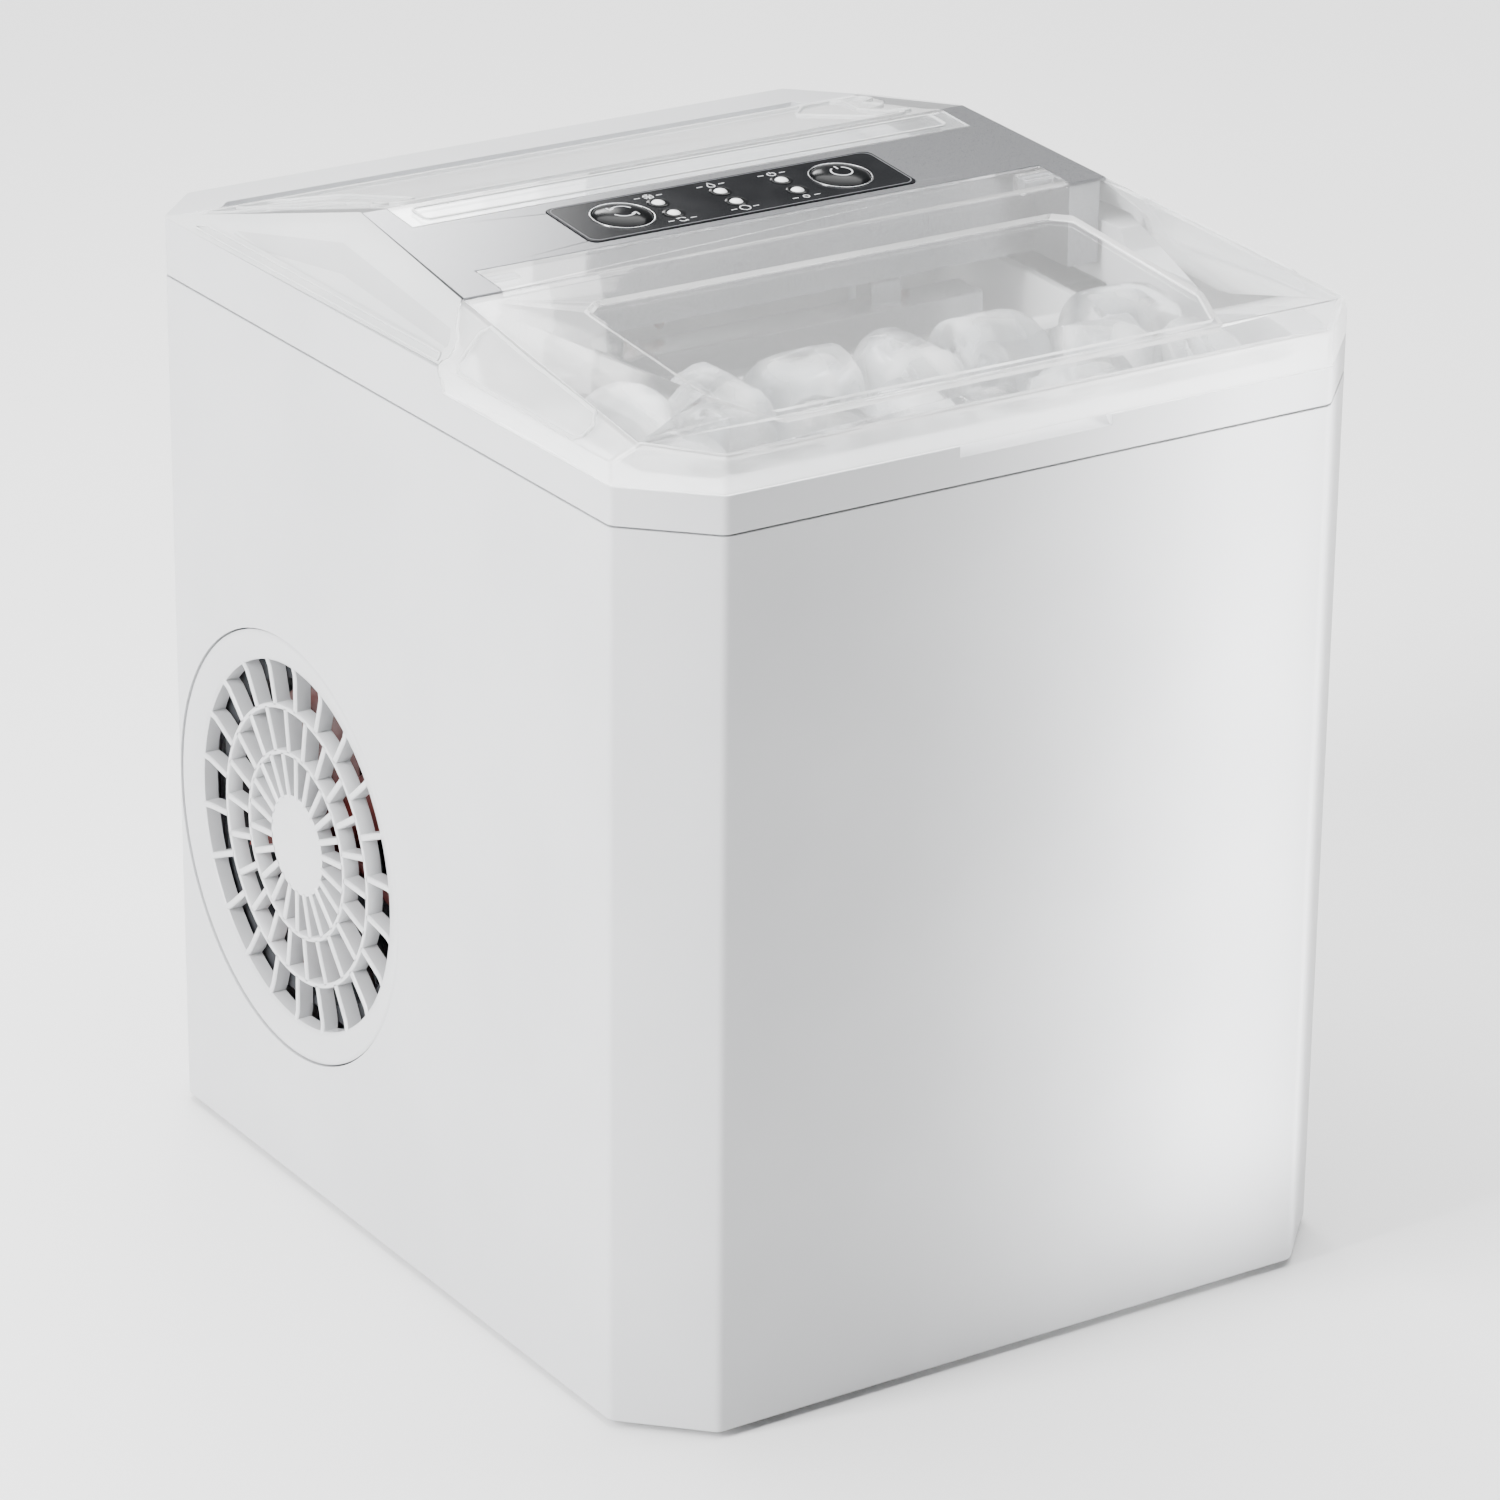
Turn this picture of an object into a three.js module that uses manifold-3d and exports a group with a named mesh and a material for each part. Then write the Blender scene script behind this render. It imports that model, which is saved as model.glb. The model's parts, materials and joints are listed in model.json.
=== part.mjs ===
// Countertop bullet-ice maker with a clear hinged lid, a silver bridge and a clear rear window.
// Millimetres, +Z up, front towards -Y. Origin: centre of the footprint, on the standing surface.
import * as THREE from 'three';
import { mergeVertices } from 'three/addons/utils/BufferGeometryUtils.js';
import Module from 'manifold-3d';

const wasm = await Module();
wasm.setup();

// ---- driving dimensions ----
const WIDTH = 230;
const DEPTH = 271;
const HALF_W = WIDTH / 2;
const HALF_D = DEPTH / 2;
const FRONT_CHAMFER = 21;
const REAR_CHAMFER = 16;
const GAP = 0.3;
const WALL = 2.2;
const FOOT_H = 2;
const SEAM_Z = 253;            // parting line between cabinet and upper housing
const FRONT_RIM_Z = 263.4;     // housing rim under the lid
const REAR_RIM_Z = 269.7;      // housing rim under the cheeks and rear window
const STEP_Y = -33;            // where the rim steps from rear height to front height
const ROOF_SLOPE = 0.087;
const ROOF_Y0 = 25.4;          // rear edge of the bridge
const ROOF_Z0 = 288;
const CHEEK_SLOPE = 1.085;
const REAR_SLOPE = 0.246;
const REAR_EAVE_Y = 119.2;
const RIDGE_Y = 39.7;
const BRIDGE_FRONT_Y = -7.2;
const EAR_FRONT_Y = -22;
const EAR_INNER_X = 90.3;
const EAR_OUTER_X = 100.5;
const HINGE = { y: -12, z: 281, pin: 2, bore: 2.3 };
const TONGUE_SWEEP = 6.2;
const LID_WALL = 2.2;
const SKIN = 2.4;
const GRILLE = { y: 56.3, z: 103.2, r: 62, open: 53.5, ring2: 39.5, ring1: 26.5, hub: 14.5, slots: 22 };
const BUTTON_X = 35;
const LED_X = [-21.3, -1.4, 18.3];
const LED_ROW = 4;
const PANEL = { y: 8.5, w: 104.5, d: 25.5, r: 3 };
const RING_INSET = 13;
const LINER = { x: 104, front: -125, mid: -34, back: 43, floor: 24, shelf: 168, top: 252.4, wall: 3, right: 92, corner: 12 };
const BASKET = { x: 97, front: -119, back: -50, floor: 120, top: 248, rear: 205, wall: 2, corner: 9 };
const TRAY = { y: 4, z: 232, r: 24, wall: 2, left: -84, right: 76 };
const COMPRESSOR = { x: 50, y: 79, r: 44, base: 14, top: 146 };
const FINGERS = 9;
const FINGER_PITCH = 17;

const roofZ = (y) => ROOF_Z0 + ROOF_SLOPE * (y - ROOF_Y0);

// ---- finishes ----
const finish = (color, roughness, metalness = 0, extra = {}) =>
  new THREE.MeshStandardMaterial({ color, roughness, metalness, ...extra });
const whiteShell = finish(0xe6e6e8, 0.38);
const frosted = finish(0xf0f2f4, 0.3, 0, { transparent: true, opacity: 0.7 });
const clear = finish(0xf6f9fb, 0.1, 0, { transparent: true, opacity: 0.35 });
const silver = finish(0xb9babd, 0.35, 0.5);
const charcoal = finish(0x3c3d40, 0.25);
const lightGrey = finish(0xc9cbce, 0.5);
const darkPlastic = finish(0x2b2c2f, 0.55);
const lens = finish(0xe9ecef, 0.2);
const copper = finish(0xb87345, 0.3, 1);
const nickel = finish(0xc3c4c6, 0.25, 1);
const steel = finish(0x9b9da1, 0.4, 1);
const blackPaint = finish(0x17181a, 0.4);
const aluminium = finish(0xb4b7bb, 0.4, 1);
const rubber = finish(0x24252a, 0.85);
const foam = finish(0xe9e0c2, 0.9);
const board = finish(0x1f6b3f, 0.5);
const silicone = finish(0xdfe6ea, 0.5, 0, { transparent: true, opacity: 0.6 });

// ---- geometry helpers ----
const shapeOf = (points) => new THREE.Shape(points.map(([u, v]) => new THREE.Vector2(u, v)));
const extruded = (shape, depth) => new THREE.ExtrudeGeometry(shape, { depth, bevelEnabled: false, curveSegments: 12 });

// plan outline raised from z0 to z1
const alongZ = (points, z0, z1) => extruded(shapeOf(points), z1 - z0).translate(0, 0, z0);

// outline in (y, z) carried from x0 to x1
function alongX(points, x0, x1) {
  const turn = new THREE.Matrix4().set(0, 0, 1, x0, 1, 0, 0, 0, 0, 1, 0, 0, 0, 0, 0, 1);
  return extruded(shapeOf(points), x1 - x0).applyMatrix4(turn);
}

// outline in (x, z) carried from y0 to y1
function alongY(points, y0, y1) {
  const turn = new THREE.Matrix4().set(1, 0, 0, 0, 0, 0, -1, y1, 0, 1, 0, 0, 0, 0, 0, 1);
  return extruded(shapeOf(points), y1 - y0).applyMatrix4(turn);
}

const block = (x0, x1, y0, y1, z0, z1) =>
  new THREE.BoxGeometry(x1 - x0, y1 - y0, z1 - z0).translate((x0 + x1) / 2, (y0 + y1) / 2, (z0 + z1) / 2);

// profile of (radius, height) points from axis to axis, turned about the named axis
function turned(profile, axis = 'z', segments = 24) {
  const g = new THREE.LatheGeometry(profile.map(([r, h]) => new THREE.Vector2(r, h)), segments);
  if (axis === 'z') g.rotateX(Math.PI / 2);
  if (axis === 'x') g.rotateZ(-Math.PI / 2);
  return g;
}

const rod = (r, h0, h1, axis = 'z', segments = 20) => turned([[0, h0], [r, h0], [r, h1], [0, h1]], axis, segments);

// round tube of radius r through the given points
function tube(points, r, steps, sides = 4) {
  const path = new THREE.CatmullRomCurve3(points.map((p) => new THREE.Vector3(...p)), false, 'centripetal');
  const circle = new THREE.Shape().absarc(0, 0, r, 0, Math.PI * 2);
  return new THREE.ExtrudeGeometry(circle, { steps, extrudePath: path, curveSegments: sides });
}

function signedVolume(position, index) {
  const [a, b, c] = [new THREE.Vector3(), new THREE.Vector3(), new THREE.Vector3()];
  let sum = 0;
  for (let i = 0; i < index.length; i += 3) {
    [a, b, c].forEach((p, k) => p.fromArray(position, 3 * index[i + k]));
    sum += a.dot(b.cross(c)) / 6;
  }
  return sum;
}

// closed three.js geometry to a manifold solid
function solid(geometry) {
  const bare = geometry.clone();
  bare.deleteAttribute('normal');
  bare.deleteAttribute('uv');
  const merged = mergeVertices(bare, 1e-4);
  const index = [];
  const src = merged.index.array;
  for (let i = 0; i < src.length; i += 3) {
    const [a, b, c] = [src[i], src[i + 1], src[i + 2]];
    if (a !== b && b !== c && c !== a) index.push(a, b, c);
  }
  const position = merged.attributes.position.array;
  if (signedVolume(position, index) < 0) {
    for (let i = 0; i < index.length; i += 3) [index[i], index[i + 1]] = [index[i + 1], index[i]];
  }
  return new wasm.Manifold(new wasm.Mesh({
    numProp: 3,
    vertProperties: new Float32Array(position),
    triVerts: new Uint32Array(index),
  }));
}

const joined = (...parts) => parts.map((p) => (p.isBufferGeometry ? solid(p) : p)).reduce((a, b) => a.add(b));
const cut = (base, ...tools) =>
  tools.map((t) => (t.isBufferGeometry ? solid(t) : t))
    .reduce((a, b) => a.subtract(b), base.isBufferGeometry ? solid(base) : base);
const common = (...parts) => parts.map((p) => (p.isBufferGeometry ? solid(p) : p)).reduce((a, b) => a.intersect(b));

function geometryOf(manifold) {
  const m = manifold.getMesh();
  const g = new THREE.BufferGeometry();
  const points = new Float32Array(m.numVert * 3);
  for (let i = 0; i < m.numVert; i += 1) {
    for (let k = 0; k < 3; k += 1) points[3 * i + k] = m.vertProperties[m.numProp * i + k];
  }
  g.setAttribute('position', new THREE.BufferAttribute(points, 3));
  g.setIndex(new THREE.BufferAttribute(new Uint32Array(m.triVerts), 1));
  g.computeVertexNormals();
  return g;
}

const model = new THREE.Group();

function add(name, shape, material, parent = model) {
  const mesh = new THREE.Mesh(geometryOf(shape.isBufferGeometry ? solid(shape) : shape), material);
  mesh.name = name;
  parent.add(mesh);
  return mesh;
}

// ---- shared outlines ----
// footprint with chamfered corners, every side moved in by the inset
function footprint(inset) {
  const [x, y] = [HALF_W - inset, HALF_D - inset];
  const shrink = inset * (2 - Math.SQRT2);
  const [f, r] = [FRONT_CHAMFER - shrink, REAR_CHAMFER - shrink];
  return [[-x + f, -y], [x - f, -y], [x, -y + f], [x, y - r], [x - r, y], [-x + r, y], [-x, y - r], [-x, -y + f]];
}

// everything under the hipped roof, its planes lowered by the drop and its walls moved in by the inset
function underRoof(drop, inset, z0) {
  const far = HALF_D + 5;
  const rearPlane = (y) => REAR_RIM_Z + REAR_SLOPE * (REAR_EAVE_Y - y) - drop;
  const cheekPlane = (x) => REAR_RIM_Z + CHEEK_SLOPE * (HALF_W - x) - drop * 1.45;
  const long = alongX([[-far, 200], [far, 200], [far, rearPlane(far)],
    [RIDGE_Y, roofZ(RIDGE_Y) - drop], [-far, roofZ(-far) - drop]], -HALF_W - 5, HALF_W + 5);
  const across = alongY([[-120, 200], [120, 200], [120, cheekPlane(120)], [60, cheekPlane(60)],
    [-60, cheekPlane(60)], [-120, cheekPlane(120)]], -far, far);
  return common(alongZ(footprint(inset), z0, 320), long, across);
}

// rectangle in plan with its two front corners cut off
const tubOutline = (x, y0, y1, c) => [[-x + c, y0], [x - c, y0], [x, y0 + c], [x, y1], [-x, y1], [-x, y0 + c]];

const mirrored = (points) => points.map(([x, y]) => [-x, y]).reverse();

// ---- base, feet and cabinet ----
function buildBase() {
  const tray = cut(alongZ(footprint(WALL + GAP), FOOT_H, 14), alongZ(footprint(WALL + GAP + 2), 5, 20));
  add('base_pan', tray, lightGrey);
  for (const [side, x] of [['left', -88], ['right', 88]]) {
    for (const [end, y] of [['front', -104], ['rear', 106]]) {
      const foot = turned([[0, 0], [8, 0], [9, FOOT_H - GAP], [0, FOOT_H - GAP]], 'z', 24);
      add(`foot_${end}_${side}`, foot, rubber).position.set(x, y, 0);
    }
  }
}

function ventSlots() {
  const slots = [];
  for (let i = 0; i < 9; i += 1) {
    const z = 62 + 10 * i;
    slots.push(block(HALF_W - 6, HALF_W + 3, 28, 104, z, z + 4.5));
  }
  return slots;
}

const BACK_PANEL = { x: 90, z0: 22, z1: 236 };

function buildCabinet() {
  const grilleHole = rod(GRILLE.r + 2 * GAP, -HALF_W - 5, -HALF_W + 8, 'x', 44).translate(0, GRILLE.y, GRILLE.z);
  const drainHole = rod(10.3, HALF_W - 6, HALF_W + 3, 'x').translate(0, DRAIN.y, DRAIN.z);
  const rearOpening = block(-BACK_PANEL.x, BACK_PANEL.x, HALF_D - 6, HALF_D + 3, BACK_PANEL.z0, BACK_PANEL.z1);
  const wall = cut(alongZ(footprint(0), FOOT_H, SEAM_Z - GAP), alongZ(footprint(WALL), FOOT_H - 2, SEAM_Z + 2),
    grilleHole, drainHole, rearOpening, ...ventSlots());
  add('cabinet_shell', wall, whiteShell);
}

// plate in the rear opening with a lip behind the wall, louvres and a hole for the cord gland
function buildBackPanel() {
  const { x, z0, z1 } = BACK_PANEL;
  const plate = joined(
    block(-x + GAP, x - GAP, HALF_D - WALL, HALF_D, z0 + GAP, z1 - GAP),
    block(-x - 5, x + 5, HALF_D - WALL - GAP - 2, HALF_D - WALL - GAP, z0 - 5, z1 + 5),
    block(-x + GAP, x - GAP, HALF_D - WALL - 1, HALF_D - WALL + 1, z0 + GAP, z1 - GAP));
  const louvres = [];
  for (let i = 0; i < 7; i += 1) louvres.push(block(-70, 6, HALF_D - 8, HALF_D + 3, 70 + 10 * i, 74.5 + 10 * i));
  const glandHole = rod(8.3, HALF_D - 8, HALF_D + 3, 'y').translate(GLAND.x, 0, GLAND.z);
  const screwHoles = SCREWS.map(([sx, sz]) => rod(2.2, HALF_D - 8, HALF_D + 3, 'y', 12).translate(sx, 0, sz));
  const sinks = SCREWS.map(([sx, sz]) => rod(4.2, HALF_D - 1.2, HALF_D + 3, 'y', 16).translate(sx, 0, sz));
  add('back_panel', cut(plate, glandHole, ...louvres, ...screwHoles, ...sinks), whiteShell);
  SCREWS.forEach(([sx, sz], i) => {
    const screw = turned([[0, HALF_D - 9], [1.8, HALF_D - 9], [1.8, HALF_D - 0.9], [3.8, HALF_D - 0.9],
      [3.8, HALF_D - 0.2], [3, HALF_D], [0, HALF_D]], 'y', 16).translate(sx, 0, sz);
    add(`back_screw_${i + 1}`, screw, steel);
  });
  const gland = turned([[4, HALF_D - 9], [9.8, HALF_D - 9], [9.8, HALF_D - 5], [8, HALF_D - 5],
    [8, HALF_D - 0.3], [4, HALF_D - 0.3], [4, HALF_D - 9]], 'y', 24).translate(GLAND.x, 0, GLAND.z);
  add('cord_gland', gland, rubber);
}

// narrow drain slots in the basket's floor
const DRAIN_SLOT = { firstX: -73.7, pitch: 24, width: 3.4, length: 22, rows: [-112, -79] };
const DRAIN = { y: -60, z: 36 };
const GLAND = { x: 62, z: 40 };
const SCREWS = [[-82, 30], [82, 30], [-82, 228], [82, 228]];

// dished round grille: rings of radial slots, each ring turned half a slot against the next
function buildGrille() {
  const face = -HALF_W;
  const dish = turned([[0, -face - WALL - 2.4], [GRILLE.open, -face - WALL - 2.4], [GRILLE.r, -face - WALL],
    [GRILLE.r, -face], [GRILLE.open, -face - 2.2], [GRILLE.hub, -face - 2.2], [9, -face - 0.6], [0, -face - 0.2]], 'z', 44);
  const turn = new THREE.Matrix4().set(0, 0, -1, 0, -1, 0, 0, GRILLE.y, 0, 1, 0, GRILLE.z, 0, 0, 0, 1);
  const pitch = (2 * Math.PI) / GRILLE.slots;
  const ringSlots = (r0, r1, share, offset) => {
    const tools = [];
    for (let i = 0; i < GRILLE.slots; i += 1) {
      const mid = (i + offset) * pitch;
      const half = (share * pitch) / 2;
      const at = (r, a) => [r * Math.sin(mid + a), r * Math.cos(mid + a)];
      const outline = [at(r0, -half), at(r1, -half), at(r1, half), at(r0, half)];
      tools.push(alongZ(outline, -face - 9, -face + 3).applyMatrix4(turn));
    }
    return tools;
  };
  const slots = [
    ...ringSlots(GRILLE.ring2 + 1, GRILLE.open - 0.5, 0.62, 0.58),
    ...ringSlots(GRILLE.ring1 + 1, GRILLE.ring2 - 1, 0.62, 0.08),
    ...ringSlots(GRILLE.hub + 1, GRILLE.ring1 - 1, 0.58, 0.58),
  ];
  add('fan_grille', cut(dish.applyMatrix4(turn), ...slots), whiteShell);
}

// ---- upper housing, bridge and covers ----
function buildHousing() {
  const ring = cut(alongZ(footprint(0), SEAM_Z, REAR_RIM_Z), alongZ(footprint(RING_INSET), SEAM_Z - 2, REAR_RIM_Z + 2));
  const step = alongX([[-HALF_D - 3, FRONT_RIM_Z], [STEP_Y, FRONT_RIM_Z], [STEP_Y + 4, REAR_RIM_Z + 2],
    [-HALF_D - 3, REAR_RIM_Z + 2]], -HALF_W - 3, HALF_W + 3);
  const fingerNotch = block(-24, 23, -HALF_D - 3, -HALF_D + 4, FRONT_RIM_Z - 2.7, FRONT_RIM_Z + 3);
  add('upper_housing', cut(ring, step, fingerNotch), whiteShell);
  const deckEdge = 33;
  const deck = common(alongZ(footprint(RING_INSET + GAP), 261.6, 264), block(-120, 120, deckEdge, 140, 250, 280));
  add('rear_deck', deck, lightGrey);
}

// the window flares from the bridge's rear corner towards the rear corner of the roof
const WINDOW_EDGE = [[89.7, 25.7], [89.4, 46], [97.5, 80], [103, 88], [109.5, 106], [112.4, 118.9]];
const RIDGE_LINE = [[102.4, EAR_FRONT_Y], [97, 40.8], [114.6, 118.9]];

function panelFrame() {
  const frame = new THREE.Group();
  frame.position.set(0, PANEL.y, roofZ(PANEL.y));
  frame.rotation.x = Math.atan(ROOF_SLOPE);
  frame.updateMatrix();
  return frame;
}

function roundedPlate(w, d, r, h0, h1) {
  const s = new THREE.Shape();
  const [x, y] = [w / 2, d / 2];
  s.moveTo(-x + r, -y);
  s.lineTo(x - r, -y);
  s.absarc(x - r, -y + r, r, -Math.PI / 2, 0);
  s.absarc(x - r, y - r, r, 0, Math.PI / 2);
  s.absarc(-x + r, y - r, r, Math.PI / 2, Math.PI);
  s.absarc(-x + r, -y + r, r, Math.PI, 1.5 * Math.PI);
  return new THREE.ExtrudeGeometry(s, { depth: h1 - h0, bevelEnabled: false, curveSegments: 4 }).translate(0, 0, h0);
}

const ledPlaces = () => LED_X.flatMap((x) => [[x, LED_ROW], [x, -LED_ROW]]);
const buttonPlaces = [['select_button', -BUTTON_X], ['power_button', BUTTON_X]];

function buildBridge() {
  const inner = WINDOW_EDGE.map(([x, y]) => [x + GAP, y]);
  const right = [[EAR_INNER_X, BRIDGE_FRONT_Y], [EAR_INNER_X, EAR_FRONT_Y], ...RIDGE_LINE];
  const back = [...inner.slice(2).reverse(), [inner[1][0], inner[1][1]], [inner[0][0], ROOF_Y0 - GAP]];
  const outline = [...right, ...back, ...mirrored([...right, ...back])];
  const skin = cut(underRoof(0, 0, REAR_RIM_Z + GAP), underRoof(SKIN, 0, 100));
  const top = common(skin, alongZ(outline, 255, 300));
  const front = block(-EAR_INNER_X, EAR_INNER_X, -5.6, -3.4, 258.5, roofZ(-5) - 1);
  const rear = block(-EAR_INNER_X, EAR_INNER_X, 22.7, ROOF_Y0 - GAP, 264.3, roofZ(23) - 1);
  const ears = [-1, 1].map((s) => {
    const [a, b] = [s * EAR_INNER_X, s * EAR_OUTER_X];
    return common(block(Math.min(a, b), Math.max(a, b), EAR_FRONT_Y + 0.4, -3.4, 258.5, 300), underRoof(1, 0, 100));
  });
  const frame = panelFrame();
  const cuts = [roundedPlate(PANEL.w + 0.6, PANEL.d + 0.6, PANEL.r, -1, 6),
    ...buttonPlaces.map(([, x]) => rod(8.9, -10, 6).translate(x, 0, 0)),
    ...ledPlaces().map(([x, y]) => rod(2.5, -8, 6, 'z', 12).translate(x, y, 0))]
    .map((g) => g.applyMatrix4(frame.matrix));
  const sweep = rod(TONGUE_SWEEP, -EAR_INNER_X + 0.01, EAR_INNER_X - 0.01, 'x').translate(0, HINGE.y, HINGE.z);
  const bores = [-1, 1].map((s) => {
    const [a, b] = [s * (EAR_INNER_X - 2), s * 99.6];
    return rod(HINGE.bore, Math.min(a, b), Math.max(a, b), 'x', 20).translate(0, HINGE.y, HINGE.z);
  });
  add('bridge', cut(joined(top, front, rear, ...ears), ...cuts, sweep, ...bores), silver);
}

function buildControls() {
  const frame = panelFrame();
  model.add(frame);
  const holes = [...buttonPlaces.map(([, x]) => rod(8.9, -5, 5).translate(x, 0, 0)),
    ...ledPlaces().map(([x, y]) => rod(2.3, -5, 5, 'z', 12).translate(x, y, 0))];
  add('control_panel', cut(roundedPlate(PANEL.w, PANEL.d, PANEL.r - GAP, -0.7, 0.25), ...holes), charcoal, frame);
  for (const [name, x] of buttonPlaces) {
    const cap = turned([[0, -6.5], [3, -6.5], [3, -2.4], [8.5, -2.4], [8.5, 0.7], [7.6, 1.1], [0, 1.5]]);
    add(name, cap, charcoal, frame).position.set(x, 0, 0);
  }
  ledPlaces().forEach(([x, y], i) => {
    const light = turned([[0, -3], [2, -3], [2, 0.2], [1.2, 0.5], [0, 0.5]], 'z', 12);
    add(`led_lens_${i + 1}`, light, lens, frame).position.set(x, y, 0);
  });
  add('control_board', block(-50, 50, -10.5, 12.5, -10.1, -8.5), board, frame);
}

function buildWindow() {
  const edge = [...WINDOW_EDGE];
  const outline = [...edge, ...mirrored(edge)];
  const skin = cut(underRoof(0, 0, REAR_RIM_Z + GAP), underRoof(LID_WALL, 0, 100));
  add('rear_window', common(skin, alongZ(outline, 255, 300)), clear);
}

// lower ends of the joint between cheek and lid, seen from the side
const CHEEK_END = [[EAR_FRONT_Y, 300], [EAR_FRONT_Y, 283], [-27, 272], [STEP_Y + 3, REAR_RIM_Z]];

function buildCheek(side, sign) {
  const rim = HALF_W - 0.8;
  const [ear, ridge] = RIDGE_LINE.map(([x, y]) => [x + GAP, y]);
  const plan = [ear, ridge, [rim - 1, 111.4], [rim, 115], [rim, STEP_Y - 3], [ear[0], STEP_Y - 3]];
  const skin = cut(underRoof(0, 0, REAR_RIM_Z + GAP), underRoof(SKIN, 0, 100));
  const front = alongX([[-60, 260], [STEP_Y + 3, 260], ...[...CHEEK_END].reverse(), [-60, 300]], -120, 120);
  const region = alongZ(sign > 0 ? plan : mirrored(plan), 255, 300);
  add(`cheek_cover_${side}`, cut(common(skin, region), front), frosted);
}

// clear lid: sloped top, slanted sides, straight skirts and a tongue that reaches back to the bridge
function buildLid() {
  const shell = cut(underRoof(0, 0, FRONT_RIM_Z + GAP), underRoof(LID_WALL, LID_WALL, 100));
  const tongueX = EAR_INNER_X - 0.4;
  const gap = 0.45;
  const sideEnd = [[-200, 250], [STEP_Y - gap, 250], [STEP_Y - gap, FRONT_RIM_Z],
    ...[...CHEEK_END].reverse().map(([y, z]) => [y - gap, z]), [-200, 300]];
  const sides = alongX(sideEnd, -HALF_W - 3, HALF_W + 3);
  const tongue = block(-tongueX, tongueX, -60, BRIDGE_FRONT_Y - 0.6, 262, 300);
  const body = common(shell, joined(sides, tongue));
  const lugs = [-1, 1].map((s) => {
    const [a, b] = [s * 80, s * tongueX];
    const lug = block(Math.min(a, b), Math.max(a, b), HINGE.y - 3.5, HINGE.y + 3.5, HINGE.z - 3.5, 300);
    return common(lug, underRoof(0.5, 0, 100));
  });
  const bore = rod(HINGE.bore, -100, 100, 'x', 20).translate(0, HINGE.y, HINGE.z);
  add('front_lid', cut(joined(body, ...lugs), bore), clear);
  for (const [side, s] of [['left', -1], ['right', 1]]) {
    const pin = rod(HINGE.pin, 81, 99, 'x', 20).translate(0, HINGE.y, HINGE.z);
    if (s < 0) pin.rotateY(Math.PI).translate(0, 0, 2 * HINGE.z);
    add(`hinge_pin_${side}`, pin, steel);
  }
}

// ---- water and ice ----
function buildLiner() {
  const { x, front, mid, back, floor, shelf, top, wall, right, corner } = LINER;
  const outer = joined(alongZ(tubOutline(x, front, mid, corner), floor, top), block(-x, right, mid - 1, back, shelf, top));
  const inner = tubOutline(x - wall, front + wall, mid - wall, corner - wall * (2 - Math.SQRT2));
  const well = alongZ(inner, floor + wall, top + 2);
  const chamber = block(-x + wall, right - wall, mid - wall - 1, back - wall, shelf + wall, top + 2);
  const shaftHole = rod(3.5, right - wall - 2, right + 2, 'x', 16).translate(0, TRAY.y, TRAY.z);
  const drainHole = rod(6.5, x - wall - 2, x + 2, 'x').translate(0, DRAIN.y, DRAIN.z);
  const ledges = [[-x + 1, -92], [92, x - 1]].map(([a, b]) =>
    block(a, b, BASKET.front + 12, BASKET.back, BASKET.floor - 8, BASKET.floor - GAP));
  add('bin_liner', cut(joined(cut(outer, well, chamber), ...ledges), shaftHole, drainHole), lightGrey);
}

function buildFoam() {
  const [x, x0] = [HALF_W - WALL - 0.6, LINER.x + GAP];
  const [y0, y1, y2] = [-HALF_D + WALL + 0.6, LINER.front - GAP, LINER.mid];
  const c = FRONT_CHAMFER - 1.5;
  const k = LINER.corner;
  const u = [[-x, y2], [-x, y0 + c], [-x + c, y0], [x - c, y0], [x, y0 + c], [x, y2],
    [x0, y2], [x0, y1 + k], [x0 - k, y1], [-x0 + k, y1], [-x0, y1 + k], [-x0, y2]];
  const drain = rod(10.6, 100, 118, 'x').translate(0, DRAIN.y, DRAIN.z);
  add('insulation_foam', cut(alongZ(u, 16, 250), drain), foam);
}

function buildBasket() {
  const { x, front, back, floor, top, rear, wall, corner } = BASKET;
  const inner = tubOutline(x - wall, front + wall, back - wall, corner - wall * (2 - Math.SQRT2));
  const body = cut(alongZ(tubOutline(x, front, back, corner), floor, top), alongZ(inner, floor + wall, top + 2),
    block(-x + 12, x - 12, back - 6, back + 6, rear, top + 2));
  const drains = [];
  for (let i = 0; i < 7; i += 1) {
    for (const y of DRAIN_SLOT.rows) {
      const left = DRAIN_SLOT.firstX + DRAIN_SLOT.pitch * i;
      drains.push(block(left, left + DRAIN_SLOT.width, y, y + DRAIN_SLOT.length, floor - 2, floor + 4));
    }
  }
  add('ice_basket', cut(body, ...drains), frosted);
}

function buildEvaporator() {
  const { y } = TRAY;
  const reach = ((FINGERS - 1) / 2) * FINGER_PITCH;
  const bar = block(-reach - 8, reach + 8, y - 6, y + 6, 241, 249);
  const fingers = [];
  for (let i = 0; i < FINGERS; i += 1) {
    const finger = turned([[0, 215], [2.6, 215.8], [4.4, 218], [5.2, 243], [0, 243]], 'z', 10);
    fingers.push(finger.translate(-reach + i * FINGER_PITCH, y, 0));
  }
  const arms = [-50, 40].flatMap((x) => [block(x, x + 10, y - 4, LINER.back + 3, 252.8, 255.6), block(x, x + 10, y - 4, y + 4, 248, 254)]);
  add('evaporator', joined(bar, ...fingers, ...arms), nickel);
}

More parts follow.
